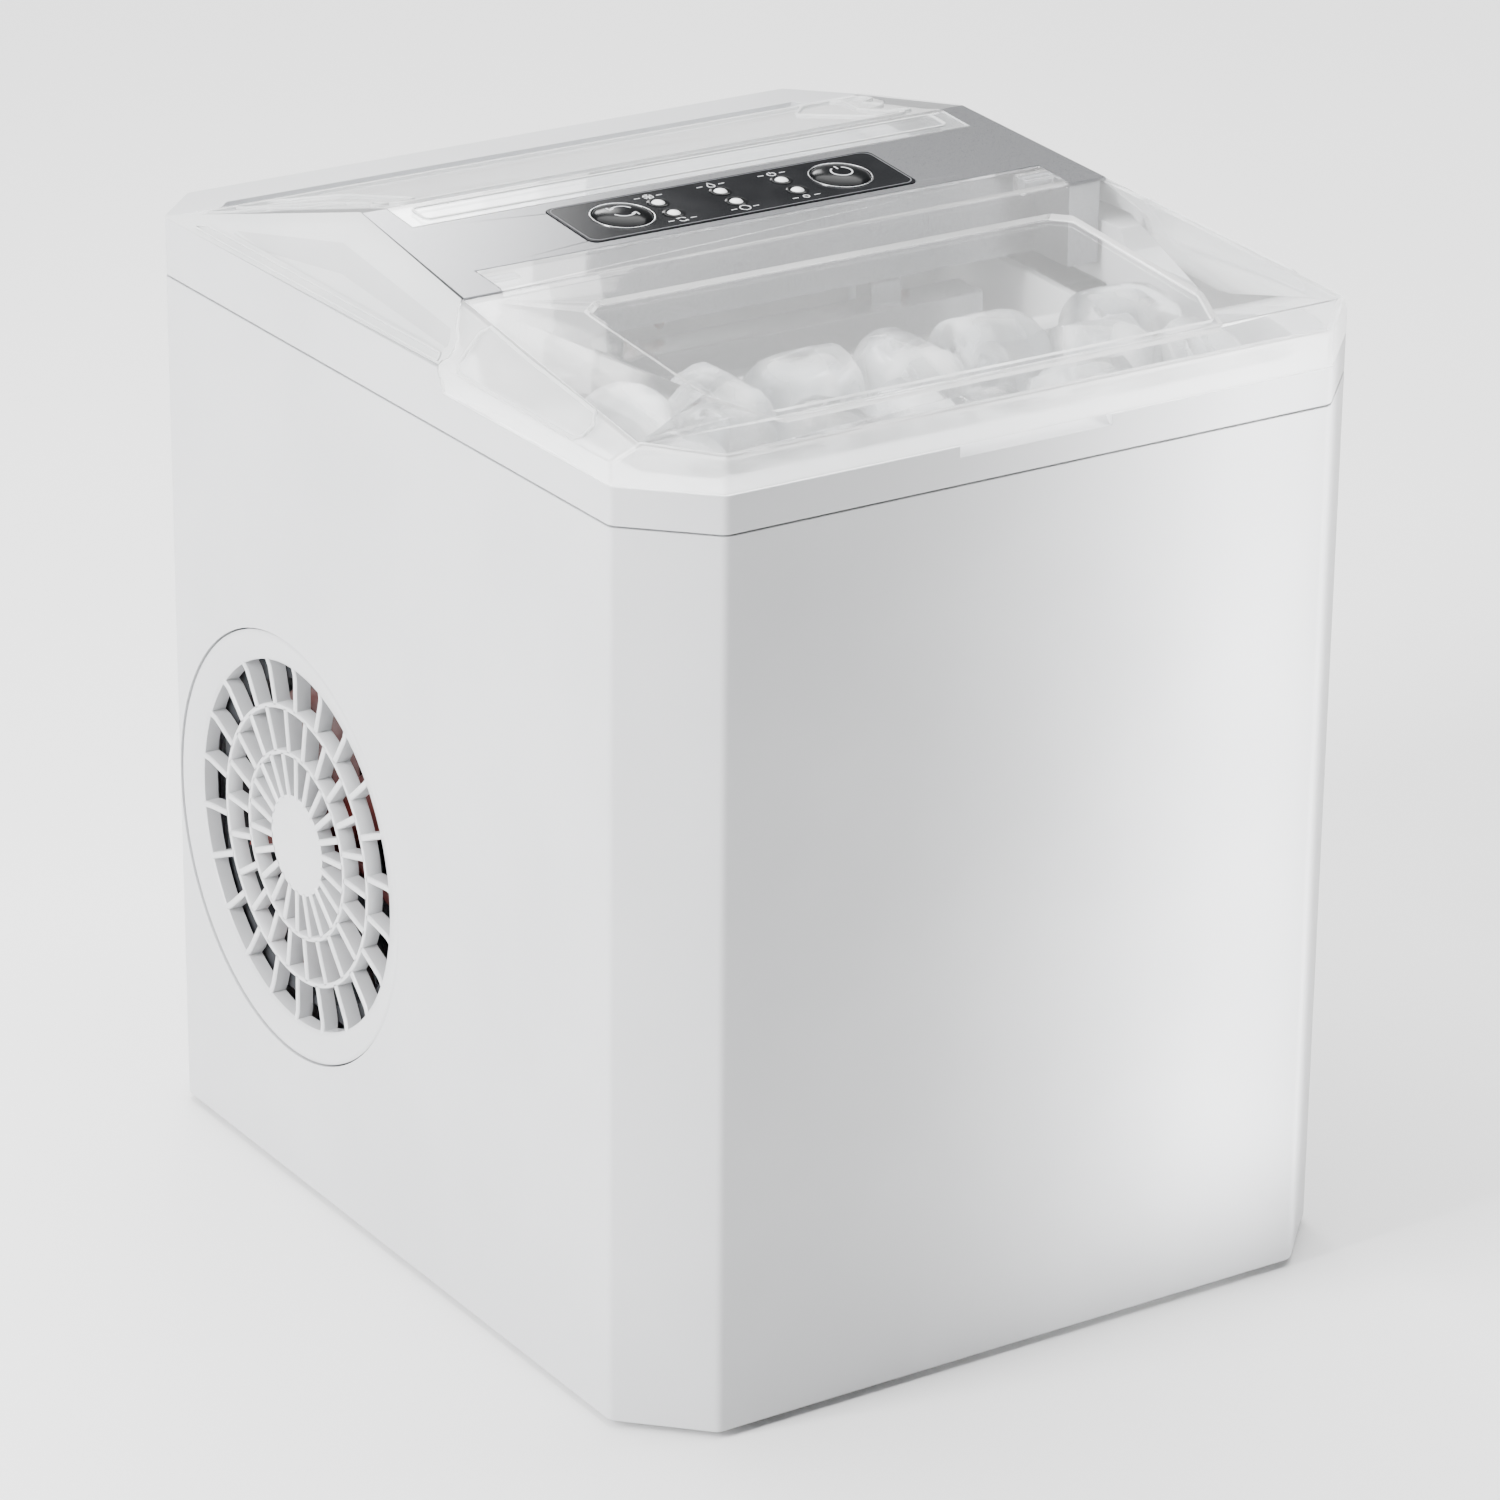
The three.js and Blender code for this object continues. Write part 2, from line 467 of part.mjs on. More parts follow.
// half-round trough closed by end discs, with a shaft stub at each end
function buildTray() {
  const { y, z, r, wall, left, right } = TRAY;
  const full = rod(r, left, right, 'x', 40);
  const hollow = rod(r - wall, left + wall, right - wall, 'x', 40);
  const above = block(left - 2, right + 2, -r - 2, r + 2, 0, r + 2);
  const hubs = [rod(6, left, left + wall, 'x', 16), rod(6, right - wall, right, 'x', 16)];
  const stubs = [rod(3, left - 12, left + 1, 'x', 16), rod(3, right - 1, LINER.right + 1.6, 'x', 16)];
  const trough = joined(cut(full, hollow, above), ...hubs, ...stubs).translate([0, y, z]);
  add('water_tray', trough, lightGrey);
  const motor = joined(block(LINER.right + 2, 111, -12, 20, 214, 250), rod(9, LINER.right + 2, 105, 'x').translate(0, 4, 232));
  add('tray_motor', motor, darkPlastic);
}

function buildShovel() {
  const blade = alongX([[-28, 214], [-26, 212.5], [-25.6, 244], [-28.2, 244]], TRAY.left, TRAY.right);
  const axle = rod(3, -98, 86, 'x', 16).translate(0, -26.9, 246);
  const teeth = [];
  for (let i = 0; i < 8; i += 1) teeth.push(block(-76 + 20 * i, -66 + 20 * i, -30, -24, 210, 217));
  add('ice_shovel', joined(cut(solid(blade), ...teeth), axle), lightGrey);
}

function buildWaterParts() {
  const sensor = (s) => block(Math.min(s * 97.2, s * 100.7), Math.max(s * 97.2, s * 100.7), -47, -39, 236, 246);
  add('ice_full_sensor_left', sensor(-1), darkPlastic);
  add('ice_full_sensor_right', sensor(1), darkPlastic);
  const floor = LINER.floor + LINER.wall + GAP;
  const post = turned([[0, floor], [8, floor], [8, floor + 3], [3, floor + 5], [3, 100], [6, 100], [6, 103], [0, 103]], 'z', 20);
  add('level_sensor_post', post.translate(-70, -95, 0), darkPlastic);
  const ring = turned([[3.5, 48], [11, 48], [12, 50], [12, 60], [11, 62], [3.5, 62], [3.5, 48]], 'z', 24);
  add('level_float', ring.translate(-70, -95, 0), whiteShell);
  const pump = joined(rod(16, floor, 50), rod(5, 49, 60, 'z', 16));
  add('water_pump', pump.translate([60, -95, 0]), darkPlastic);
  const hose = [[60, -95, 60.4], [60, -95, 72], [60, -88, 84], [60, -60, 92], [60, -46, 104], [60, -43.5, 130], [60, -43.5, 165],
    [60, -36, 182], [60, -10, 187], [60, 20, 188], [60, 33, 196], [60, 35, 215], [60, 35, 244]];
  add('pump_hose', tube(hose, 3.5, 32), silicone);
  const plug = turned([[0, 98], [5.6, 98], [6, 99], [6, 107], [9.8, 107], [9.8, 113.8], [9, 114.6], [2.5, 114.6], [0, 114.6]], 'x', 24);
  const grips = [-1, 1].map((s) => block(112.4, 116, s * 4 - 1.6, s * 4 + 1.6, -7, 7));
  add('drain_plug', cut(plug, ...grips).translate([0, DRAIN.y, DRAIN.z]), darkPlastic);
}

// ---- refrigeration ----
function buildCompressor() {
  const { x, y, r, base, top } = COMPRESSOR;
  const can = turned([[0, base], [r - 8, base], [r, base + 10], [r, top - 34], [r - 3, top - 20], [r - 14, top - 6],
    [r - 30, top], [0, top]], 'z', 36);
  const foot = block(-44, 44, -44, 44, base - 3, base + 1);
  const terminal = block(-r - 9, -r + 5, -14, 14, 70, 104);
  const body = joined(can, foot, terminal);
  const holes = GROMMETS.map(([gx, gy]) => rod(5.3, 0, 40, 'z', 16).translate(gx, gy, 0));
  add('compressor', cut(body, ...holes).translate([x, y, 0]), blackPaint);
  GROMMETS.forEach(([gx, gy], i) => {
    const grommet = turned([[0, 5.3], [8, 5.3], [8, base - 3.4], [5, base - 3.4], [5, base + 4], [0, base + 4]], 'z', 16);
    add(`compressor_grommet_${i + 1}`, grommet.translate(x + gx, y + gy, 0), rubber);
  });
}

const GROMMETS = [[-36, -36], [36, -36], [36, 36]];
const CONDENSER = { x0: -78, x1: -56, y0: 10, y1: 104, z0: 50, z1: 156 };

function buildCondenser() {
  const { x0, x1, y0, y1, z0, z1 } = CONDENSER;
  const fins = [];
  const count = 12;
  for (let i = 0; i < count; i += 1) {
    const y = y0 + 2 + ((y1 - y0 - 4) * i) / (count - 1);
    fins.push(block(x0, x1, y - 0.6, y + 0.6, z0, z1));
  }
  const middle = (x0 + x1) / 2;
  const tubes = [z0 + 14, z0 + 53, z0 + 92].map((z) => block(middle - 3, middle + 3, y0, y1, z - 3, z + 3));
  add('condenser', joined(...tubes, ...fins), aluminium);
}

function buildFan() {
  const { y, z } = GRILLE;
  const hub = turned([[0, -106], [11, -106], [13, -104], [13, -93], [0, -93]], 'x', 24);
  const blades = [];
  for (let i = 0; i < 7; i += 1) {
    const blade = new THREE.BoxGeometry(1.6, 17, 33).rotateZ(0.55).translate(-99.5, 0, 27.5);
    blades.push(blade.rotateX((i * 2 * Math.PI) / 7));
  }
  add('fan_blade', joined(hub, ...blades), darkPlastic).position.set(0, y, z);
  const plate = cut(block(-107, -86, -50, 50, -50, 50), rod(47, -110, -80, 'x', 48));
  const spokes = joined(block(-89, -86, -50, 50, -3, 3), block(-89, -86, -3, 3, -50, 50));
  add('fan_shroud', joined(plate, spokes).translate([0, y, z]), darkPlastic);
  add('fan_motor', rod(14, -85.7, -79, 'x').translate(0, y, z), steel);
}

function buildPlumbing() {
  const top = COMPRESSOR.top;
  const suction = [[60, 15, 252], [60, 22, 257], [60, 40, 257.5], [60, 47.5, 252], [60, 49, 225], [52, 56, 190], [46, 69, 166],
    [44, 72, 156], [44, 72, top + 0.4]];
  add('suction_tube', tube(suction, 3, 26), copper);
  const discharge = [[70, 92, top - 2], [70, 93, 160], [60, 110, 176], [20, 118, 180], [-50, 118, 170],
    [-66, 116, 152], [-67, 111, 143], [-67, 104.8, 142]];
  add('discharge_tube', tube(discharge, 2.5, 26), copper);
  const drier = turned([[0, -22], [3, -20], [8, -13], [8, 13], [3, 20], [0, 22]], 'y', 20);
  add('filter_drier', drier.translate(-40, 64, 40), copper);
  const capillary = [[-40, 87, 40], [-38, 96, 44], [-22, 104, 62], [-16, 104, 120], [-16, 90, 190], [-20, 60, 228],
    [-22, 50, 250], [-22, 40, 257], [-22, 22, 257], [-22, 10, 251.5]];
  add('capillary_tube', tube(capillary, 1.5, 34, 3), copper);
  add('power_board', block(-60, 4, 74, 118, 236, 238), board);
}

buildBase();
buildCabinet();
buildBackPanel();
buildGrille();
buildHousing();
buildBridge();
buildControls();
buildWindow();
buildCheek('left', -1);
buildCheek('right', 1);
buildLid();
buildLiner();
buildFoam();
buildBasket();
buildEvaporator();
buildTray();
buildShovel();
buildWaterParts();
buildCompressor();
buildCondenser();
buildFan();
buildPlumbing();

export default model;
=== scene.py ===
"""A countertop bullet-ice maker: chamfered white cabinet, silver bridge with its key panel, clear
hinged lid over a basket of bullet ice, clear rear window. Metres, +Z up, front towards -Y."""

import json
import math

import bmesh
import bpy
import mathutils.geometry
import numpy as np
from mathutils import Matrix, Vector


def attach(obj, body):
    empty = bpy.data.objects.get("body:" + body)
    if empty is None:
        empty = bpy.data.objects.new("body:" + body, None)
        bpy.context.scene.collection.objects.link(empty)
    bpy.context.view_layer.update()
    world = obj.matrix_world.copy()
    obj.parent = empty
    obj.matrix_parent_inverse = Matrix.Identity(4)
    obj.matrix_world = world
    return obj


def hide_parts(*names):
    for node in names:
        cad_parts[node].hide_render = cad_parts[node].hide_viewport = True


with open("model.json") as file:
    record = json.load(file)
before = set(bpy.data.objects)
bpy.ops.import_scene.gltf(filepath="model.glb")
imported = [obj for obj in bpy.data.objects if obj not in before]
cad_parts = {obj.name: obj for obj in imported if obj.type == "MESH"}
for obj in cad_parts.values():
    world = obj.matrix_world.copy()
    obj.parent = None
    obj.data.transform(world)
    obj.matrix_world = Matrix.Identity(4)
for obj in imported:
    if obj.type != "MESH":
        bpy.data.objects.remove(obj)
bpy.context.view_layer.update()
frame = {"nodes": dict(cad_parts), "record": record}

MM = 0.001
HALF_W, HALF_D = 115.0, 135.5
FRONT_CHAMFER, REAR_CHAMFER = 21.0, 16.0
CHAMFER_SUM = HALF_W + HALF_D - FRONT_CHAMFER  # x plus the distance in front, all along the front chamfer
CORNER_R = 3.5                 # rounding of the chamfers' vertical edges
SEAM_Z = 253.0
FRONT_RIM_Z, REAR_RIM_Z = 263.4, 269.7
ROOF_SLOPE, ROOF_Y0, ROOF_Z0 = 0.087, 25.4, 288.0
CHEEK_SLOPE = 1.085
REAR_SLOPE, REAR_EAVE_Y = 0.246, 119.2
ROOF_OUT, WINDOW_OUT = (0, -ROOF_SLOPE, 1), (0, REAR_SLOPE, 1)
GRILLE_Y, GRILLE_Z, GRILLE_R = 56.3, 103.2, 62.0
PANEL_Y = 8.5
SEED = 7
SIDES = (("left", -1), ("right", 1))


def roof_z(y):
    """Height of the sloped roof plane over y."""
    return ROOF_Z0 + ROOF_SLOPE * (y - ROOF_Y0)


def cheek_z(x):
    """Height of the slanted cheek plane over x."""
    return REAR_RIM_Z + CHEEK_SLOPE * (HALF_W - abs(x))


def rear_z(y):
    """Height of the rear slope over y."""
    return REAR_RIM_Z + REAR_SLOPE * (REAR_EAVE_Y - y)


# ---------------------------------------------------------------- camera, floor, light

CAMERA_AT = (-0.866005, -1.333233, 0.787134)
CAMERA_AZIMUTH, CAMERA_ELEVATION, CAMERA_ROLL = -33.06, 22.53, 0.56
CAMERA_LENS, SENSOR = 148.09, 36.0
HORIZON, SKY = 1.3, 0.15       # the world is pale near the horizon and dim overhead,
SKY_BAND = (0.04, 0.3)         # changing over this part of its height;
FRONT_DIM = 0.5                # it is dimmer in front, so that the strip's light falls off there,
FRONT_BAND = (-0.7, 0.1)       # changing over this part of its depth
LIGHTS = (                     # name, place, point it faces, size, watts, spread in degrees
    ("overhead", (0.5, 0.75, 2.3), (0.5, 0.75, 0), (3.1, 3.1), 200, 180),
    ("front_strip", (0.19, -0.215, 0.174), (-0.667, 0.3, 0.174), (0.015, 0.308), 0.41, 34),
    ("left_box", (-1.35, -0.05, 0.75), (-0.1, 0.0, 0.15), (0.4, 1.2), 54, 180),
)
REAR_BOXES = 6                 # nested, each wider, higher and a little farther back than the last
REAR_BOX_AT, REAR_BOX_TARGET = (0.27, 0.75, 0.67), (-0.1, 0.0, 0.285)
REAR_BOX_SIZE, REAR_BOX_GROWTH, REAR_BOX_STEP = (0.08, 0.06), (0.045, 0.02), 0.002
REAR_BOX_POWER = 13            # watts per square metre


def make_camera():
    """Camera looking back along (sin a cos e, -cos a cos e, sin e), rolled about its own axis."""
    a, e, r = (math.radians(v) for v in (CAMERA_AZIMUTH, CAMERA_ELEVATION, CAMERA_ROLL))
    back = Vector((math.sin(a) * math.cos(e), -math.cos(a) * math.cos(e), math.sin(e)))
    right = Vector((0, 0, 1)).cross(back).normalized()
    up = back.cross(right)
    rolled_right = math.cos(r) * right + math.sin(r) * up
    rolled_up = math.cos(r) * up - math.sin(r) * right
    turn = Matrix((rolled_right, rolled_up, back)).transposed().to_4x4()
    data = bpy.data.cameras.new("camera")
    data.lens, data.sensor_width = CAMERA_LENS, SENSOR
    data.clip_start, data.clip_end = 0.05, 50
    camera = bpy.data.objects.new("camera", data)
    camera.matrix_world = Matrix.Translation(CAMERA_AT) @ turn
    bpy.context.scene.collection.objects.link(camera)
    bpy.context.scene.camera = camera


def area_light(name, at, towards, size, power, spread):
    """Soft rectangular light at a point, facing another point, its beam held to the spread in degrees."""
    data = bpy.data.lights.new(name, "AREA")
    data.shape, data.size, data.size_y = "RECTANGLE", size[0], size[1]
    data.energy, data.spread = power, math.radians(spread)
    light = bpy.data.objects.new(name, data)
    aim = Vector(towards) - Vector(at)
    light.matrix_world = Matrix.Translation(at) @ aim.to_track_quat("-Z", "Y").to_matrix().to_4x4()
    bpy.context.scene.collection.objects.link(light)


def make_lights():
    """Pale world, a broad box overhead for the floor, a tall narrow strip close to the front's right
    edge, a box on the left, and nested ones behind that the satin bridge mirrors at its left end with a
    soft edge."""
    world = bpy.data.worlds.new("studio")
    world.use_nodes = True
    tree = world.node_tree
    direction = add(tree, "ShaderNodeTexCoord").outputs["Generated"]
    split = add(tree, "ShaderNodeSeparateXYZ", None, {"Vector": direction})
    level = ranged(tree, split.outputs["Z"], HORIZON, SKY, SKY_BAND)
    side = ranged(tree, split.outputs["Y"], FRONT_DIM, 1.0, FRONT_BAND)
    strength = add(tree, "ShaderNodeMath", None, {0: level, 1: side}, operation="MULTIPLY")
    tree.links.new(strength.outputs["Value"], tree.nodes["Background"].inputs["Strength"])
    tree.nodes["Background"].inputs["Color"].default_value = (1, 1, 1, 1)
    bpy.context.scene.world = world
    for settings in LIGHTS:
        area_light(*settings)
    x, y, z = REAR_BOX_AT
    for i in range(REAR_BOXES):
        wide, high = (size + growth * i for size, growth in zip(REAR_BOX_SIZE, REAR_BOX_GROWTH))
        power = REAR_BOX_POWER * wide * high
        at = (x, y + REAR_BOX_STEP * i, z)
        area_light(f"rear_box_{i + 1}", at, REAR_BOX_TARGET, (wide, high), power, 180)


# ---------------------------------------------------------------- materials

NOISE_BAND = (0.35, 0.65)      # values of a noise between which a colour or clarity changes
ICE_CLARITY = (0.96, 0.62)     # light let through where the ice is clear, and in its cloudy core


def srgb(hex_colour):
    """sRGB hex such as '#e4e5e7' to linear RGBA."""
    value = [int(hex_colour[i:i + 2], 16) / 255 for i in (1, 3, 5)]
    return tuple(v / 12.92 if v <= 0.04045 else ((v + 0.055) / 1.055) ** 2.4 for v in value) + (1.0,)


def add(tree, kind, values=None, links=None, **settings):
    """Adds one node: settings are its attributes, values its socket defaults, links its incoming sockets."""
    node = tree.nodes.new(kind)
    for key, value in settings.items():
        setattr(node, key, value)
    for key, value in (values or {}).items():
        node.inputs[key].default_value = value
    for key, source in (links or {}).items():
        tree.links.new(source, node.inputs[key])
    return node


def new_material(name, **sockets):
    """Material with one Principled shader; its constants are set on the shader's own sockets."""
    material = bpy.data.materials.new(name)
    material.use_nodes = True
    tree = material.node_tree
    shader = tree.nodes["Principled BSDF"]
    for key, value in sockets.items():
        shader.inputs[key.replace("_", " ")].default_value = value
    coords = tree.nodes.new("ShaderNodeTexCoord").outputs["Object"]
    return material, tree, shader, coords


def noise_by(tree, coords, size_mm, detail):
    """Noise whose patches have about the given size."""
    values = {"Scale": 1 / (size_mm * MM), "Detail": detail}
    return add(tree, "ShaderNodeTexNoise", values, {"Vector": coords})


def ranged(tree, source, low, high, band=(0.0, 1.0)):
    """The source mapped so that it runs from low to high over the given band of its values."""
    limits = {"From Min": band[0], "From Max": band[1], "To Min": low, "To Max": high}
    return add(tree, "ShaderNodeMapRange", limits, {"Value": source}).outputs["Result"]


def tint_by_noise(tree, shader, coords, size_mm, dark, light, detail=3.0):
    """Base colour drifts between two hex colours over patches of the given size."""
    noise = noise_by(tree, coords, size_mm, detail)
    ramp = add(tree, "ShaderNodeValToRGB", None, {"Fac": noise.outputs["Fac"]})
    first, last = ramp.color_ramp.elements
    first.position, first.color = NOISE_BAND[0], srgb(dark)
    last.position, last.color = NOISE_BAND[1], srgb(light)
    tree.links.new(ramp.outputs["Color"], shader.inputs["Base Color"])
    return noise


def rough_by(tree, shader, fac, low, high):
    """Roughness runs from low to high with the given factor."""
    tree.links.new(ranged(tree, fac, low, high), shader.inputs["Roughness"])


def bump_by(tree, shader, height, depth_mm, strength=1.0):
    """Bump of the given depth from a height socket."""
    bump = add(tree, "ShaderNodeBump", {"Strength": strength, "Distance": depth_mm * MM}, {"Height": height})
    tree.links.new(bump.outputs["Normal"], shader.inputs["Normal"])


def moulded_abs(name, dark, light, roughness, grain_mm=0.35, grain_depth=0.012, coat=0.25):
    """Injection-moulded ABS: an even satin white with a faint grain and slow drifts of gloss."""
    material, tree, shader, coords = new_material(name, IOR=1.53, Coat_Weight=coat, Coat_Roughness=0.1)
    drift = tint_by_noise(tree, shader, coords, 70, dark, light)
    rough_by(tree, shader, drift.outputs["Fac"], roughness - 0.04, roughness + 0.05)
    bump_by(tree, shader, noise_by(tree, coords, grain_mm, 2.0).outputs["Fac"], grain_depth)
    return material


def satin_lacquer():
    """Silver-grey satin lacquer on ABS: fine metallic flake under a soft clear layer."""
    material, tree, shader, coords = new_material(
        "satin_silver_lacquer", Metallic=0.9, Coat_Weight=0.2, Coat_Roughness=0.2)
    flake = tint_by_noise(tree, shader, coords, 0.25, "#7f8083", "#939497", 2.0)
    rough_by(tree, shader, flake.outputs["Fac"], 0.24, 0.34)
    bump_by(tree, shader, flake.outputs["Fac"], 0.006)
    return material


def clear_plastic(name, dark, light, roughness, clarity):
    """Clear styrene moulding: light passes and bends at its edges, sharp gloss, faint flow ripples."""
    material, tree, shader, coords = new_material(
        name, IOR=1.5, Transmission_Weight=clarity, Roughness=roughness)
    tint_by_noise(tree, shader, coords, 45, dark, light)
    bump_by(tree, shader, noise_by(tree, coords, 30, 1.0).outputs["Fac"], 0.06)
    return material


def printed_film(name, dark, light, roughness):
    """Anti-glare polyester film: charcoal ink under a clear sheet, with faint orange peel."""
    material, tree, shader, coords = new_material(name, IOR=1.45, Specular_IOR_Level=0.1)
    drift = tint_by_noise(tree, shader, coords, 12, dark, light)
    rough_by(tree, shader, drift.outputs["Fac"], roughness, roughness + 0.08)
    bump_by(tree, shader, noise_by(tree, coords, 1.2, 1.0).outputs["Fac"], 0.006)
    return material


def print_ink(name, dark, light):
    """Screen-print ink: matt, with tiny pinholes of a darker shade."""
    material, tree, shader, coords = new_material(name, IOR=1.5)
    speck = tint_by_noise(tree, shader, coords, 0.3, dark, light, 1.0)
    rough_by(tree, shader, speck.outputs["Fac"], 0.45, 0.6)
    return material


def milky_lens():
    """Milky acrylic light guide: soft white with a slight glow from behind."""
    material, tree, shader, coords = new_material(
        "milky_acrylic_lens", IOR=1.49, Roughness=0.2, Emission_Color=(1, 1, 1, 1), Emission_Strength=0.15)
    tint_by_noise(tree, shader, coords, 1.5, "#e6e8ea", "#f7f8f9", 1.0)
    return material


def clear_ice():
    """Bullet ice: clear with a white core of trapped bubbles and a wet, wavy surface."""
    material, tree, shader, coords = new_material("bullet_ice_wet", IOR=1.31)
    tint_by_noise(tree, shader, coords, 9, "#f1f5f8", "#ffffff", 2.0)
    cloud = noise_by(tree, coords, 14, 1.5).outputs["Fac"]
    tree.links.new(ranged(tree, cloud, *ICE_CLARITY, NOISE_BAND), shader.inputs["Transmission Weight"])
    rough_by(tree, shader, cloud, 0.02, 0.14)
    bump_by(tree, shader, noise_by(tree, coords, 9, 1.0).outputs["Fac"], 0.2)
    return material


def drawn_copper():
    """Drawn copper tube: warm metal with brown tarnish drifting along it."""
    material, tree, shader, coords = new_material("drawn_copper", Metallic=1.0)
    stain = tint_by_noise(tree, shader, coords, 8, "#8a4f30", "#c98a5e", 4.0)
    rough_by(tree, shader, stain.outputs["Fac"], 0.42, 0.24)
    return material


def plated_metal(name, dark, light, low, high, grain_mm=0.5):
    """Plated or mill-finish metal: short bright and dull flecks in the finish."""
    material, tree, shader, coords = new_material(name, Metallic=1.0)
    fleck = tint_by_noise(tree, shader, coords, grain_mm, dark, light, 3.0)
    rough_by(tree, shader, fleck.outputs["Fac"], low, high)
    bump_by(tree, shader, fleck.outputs["Fac"], 0.01)
    return material


def baked_enamel():
    """Baked black enamel over a pressed steel can: glossy with orange peel."""
    material, tree, shader, coords = new_material(
        "baked_black_enamel", IOR=1.5, Coat_Weight=0.5, Coat_Roughness=0.1)
    tint_by_noise(tree, shader, coords, 20, "#131416", "#1d1e21")
    peel = noise_by(tree, coords, 1.6, 2.0).outputs["Fac"]
    rough_by(tree, shader, peel, 0.25, 0.4)
    bump_by(tree, shader, peel, 0.05)
    return material


def matt_rubber():
    """Moulded rubber: dull near-black with a dusty bloom."""
    material, tree, shader, coords = new_material("moulded_rubber", IOR=1.52)
    bloom = tint_by_noise(tree, shader, coords, 4, "#1b1c1f", "#2d2e32", 4.0)
    rough_by(tree, shader, bloom.outputs["Fac"], 0.72, 0.9)
    return material


def cell_foam():
    """Poured polyurethane foam: cream, with small open cells."""
    material, tree, shader, coords = new_material("poured_foam", IOR=1.4, Roughness=0.95)
    tint_by_noise(tree, shader, coords, 15, "#d6c896", "#efe4bd")
    cells = add(tree, "ShaderNodeTexVoronoi", {"Scale": 1 / (1.5 * MM)}, {"Vector": coords})
    bump_by(tree, shader, cells.outputs["Distance"], 0.3)
    return material


def solder_mask():
    """Green solder mask over copper tracks: brick-like lines a shade lighter than the board."""
    material, tree, shader, coords = new_material("solder_mask_green", IOR=1.5, Coat_Weight=0.4)
    pattern = {"Scale": 60.0, "Mortar Size": 0.03, "Mortar": srgb("#3c8a5a"),
               "Color1": srgb("#1d6a3f"), "Color2": srgb("#18583a")}
    tracks = add(tree, "ShaderNodeTexBrick", pattern, {"Vector": coords})
    tree.links.new(tracks.outputs["Color"], shader.inputs["Base Color"])
    rough_by(tree, shader, tracks.outputs["Fac"], 0.35, 0.5)
    return material


def milky_silicone():
    """Extruded silicone hose: milky, half clear, slightly tacky gloss."""
    material, tree, shader, coords = new_material("milky_silicone", IOR=1.41, Alpha=0.75)
    cloud = tint_by_noise(tree, shader, coords, 6, "#cfd8dc", "#e9eff2")
    rough_by(tree, shader, cloud.outputs["Fac"], 0.35, 0.5)
    return material


def plain_abs(name, dark, light, roughness, grain_depth):
    """Uncoated moulding of the inner and lesser parts, with a coarser grain."""
    return moulded_abs(name, dark, light, roughness, 0.5, grain_depth, 0.0)


def make_materials():
    """One finish per material slot of the record."""
    return {
        "white_shell": moulded_abs("moulded_abs_white", "#c1c2c4", "#c8c9cb", 0.34),
        "frosted_plastic": clear_plastic("frosted_styrene", "#e9ebec", "#f2f3f3", 0.24, 0.3),
        "clear_plastic": clear_plastic("clear_styrene", "#fafbfb", "#ffffff", 0.03, 0.935),
        "silver_bridge": satin_lacquer(),
        "charcoal_panel": printed_film("printed_film_charcoal", "#141517", "#1a1b1d", 0.16),
        "led_lens": milky_lens(),
        "light_grey_plastic": plain_abs("moulded_abs_pale_grey", "#d2d3d5", "#dcddde", 0.45, 0.02),
        "dark_plastic": plain_abs("moulded_nylon_dark", "#1f2023", "#2b2c30", 0.55, 0.03),
        "copper_tube": drawn_copper(),
        "nickel_plate": plated_metal("bright_nickel_plate", "#b3b4b6", "#d0d1d3", 0.16, 0.26),
        "steel": plated_metal("zinc_plated_steel", "#84868b", "#a6a8ad", 0.3, 0.48),
        "black_enamel": baked_enamel(),
        "aluminium_fin": plated_metal("mill_aluminium", "#9fa2a6", "#c0c3c7", 0.35, 0.5),
        "rubber": matt_rubber(),
        "foam": cell_foam(),
        "circuit_board": solder_mask(),
        "silicone_hose": milky_silicone(),
    }


def make_variants():
    """Finishes that single pieces or faces take instead of their slot's own."""
    return {
        "ink": print_ink("screen_print_pale", "#b9babc", "#d6d7d9"),
        "dim_ink": print_ink("screen_print_dim", "#55565a", "#66676b"),
        "fan_blade": plain_abs("moulded_nylon_maroon", "#3c1210", "#541a15", 0.4, 0.02),
        "rear_deck": plain_abs("moulded_abs_deck_grey", "#a2a4a7", "#adafb1", 0.4, 0.02),
        # painted shade: a greyer, less clear copy of the frosted styrene for the step walls of the cheeks'
        # recess, darker to stand in for the shade that falls in the recess
        "recess_step_painted_shade": clear_plastic("frosted_styrene_step_painted_shade", "#cfd0d1", "#d7d8d9", 0.24, 0.2),
        "skirt": clear_plastic("hazy_styrene", "#f6f7f7", "#fdfdfd", 0.16, 0.72),
        "key_film": printed_film("key_film_charcoal", "#0e0f10", "#151618", 0.12),
    }


# ---------------------------------------------------------------- mesh helpers

def new_object(name, vertices, faces):
    """Object at the origin from vertices in millimetres and index lists."""
    mesh = bpy.data.meshes.new(name)
    mesh.from_pydata((np.asarray(vertices, float) * MM).tolist(), [], [list(map(int, f)) for f in faces])
    mesh.validate()
    obj = bpy.data.objects.new(name, mesh)
    bpy.context.scene.collection.objects.link(obj)
    return obj


def grid_faces(rows, columns, wrap):
    """Quads between neighbouring rows of a grid; wrap also joins the last column to the first."""
    i, j = np.meshgrid(np.arange(rows - 1), np.arange(columns if wrap else columns - 1), indexing="ij")
    k = (j + 1) % columns
    quads = np.stack([i * columns + j, i * columns + k, (i + 1) * columns + k, (i + 1) * columns + j], -1)
    return quads.reshape(-1, 4)


def loft(name, rings, close_ends=False):
    """Surface through a stack of closed rings, each an array of the same number of points."""
    rings = np.asarray(rings, float)
    rows, columns = rings.shape[:2]
    faces = grid_faces(rows, columns, True).tolist()
    if close_ends:
        faces += [list(range(columns))[::-1], [(rows - 1) * columns + j for j in range(columns)]]
    return new_object(name, rings.reshape(-1, 3), faces)


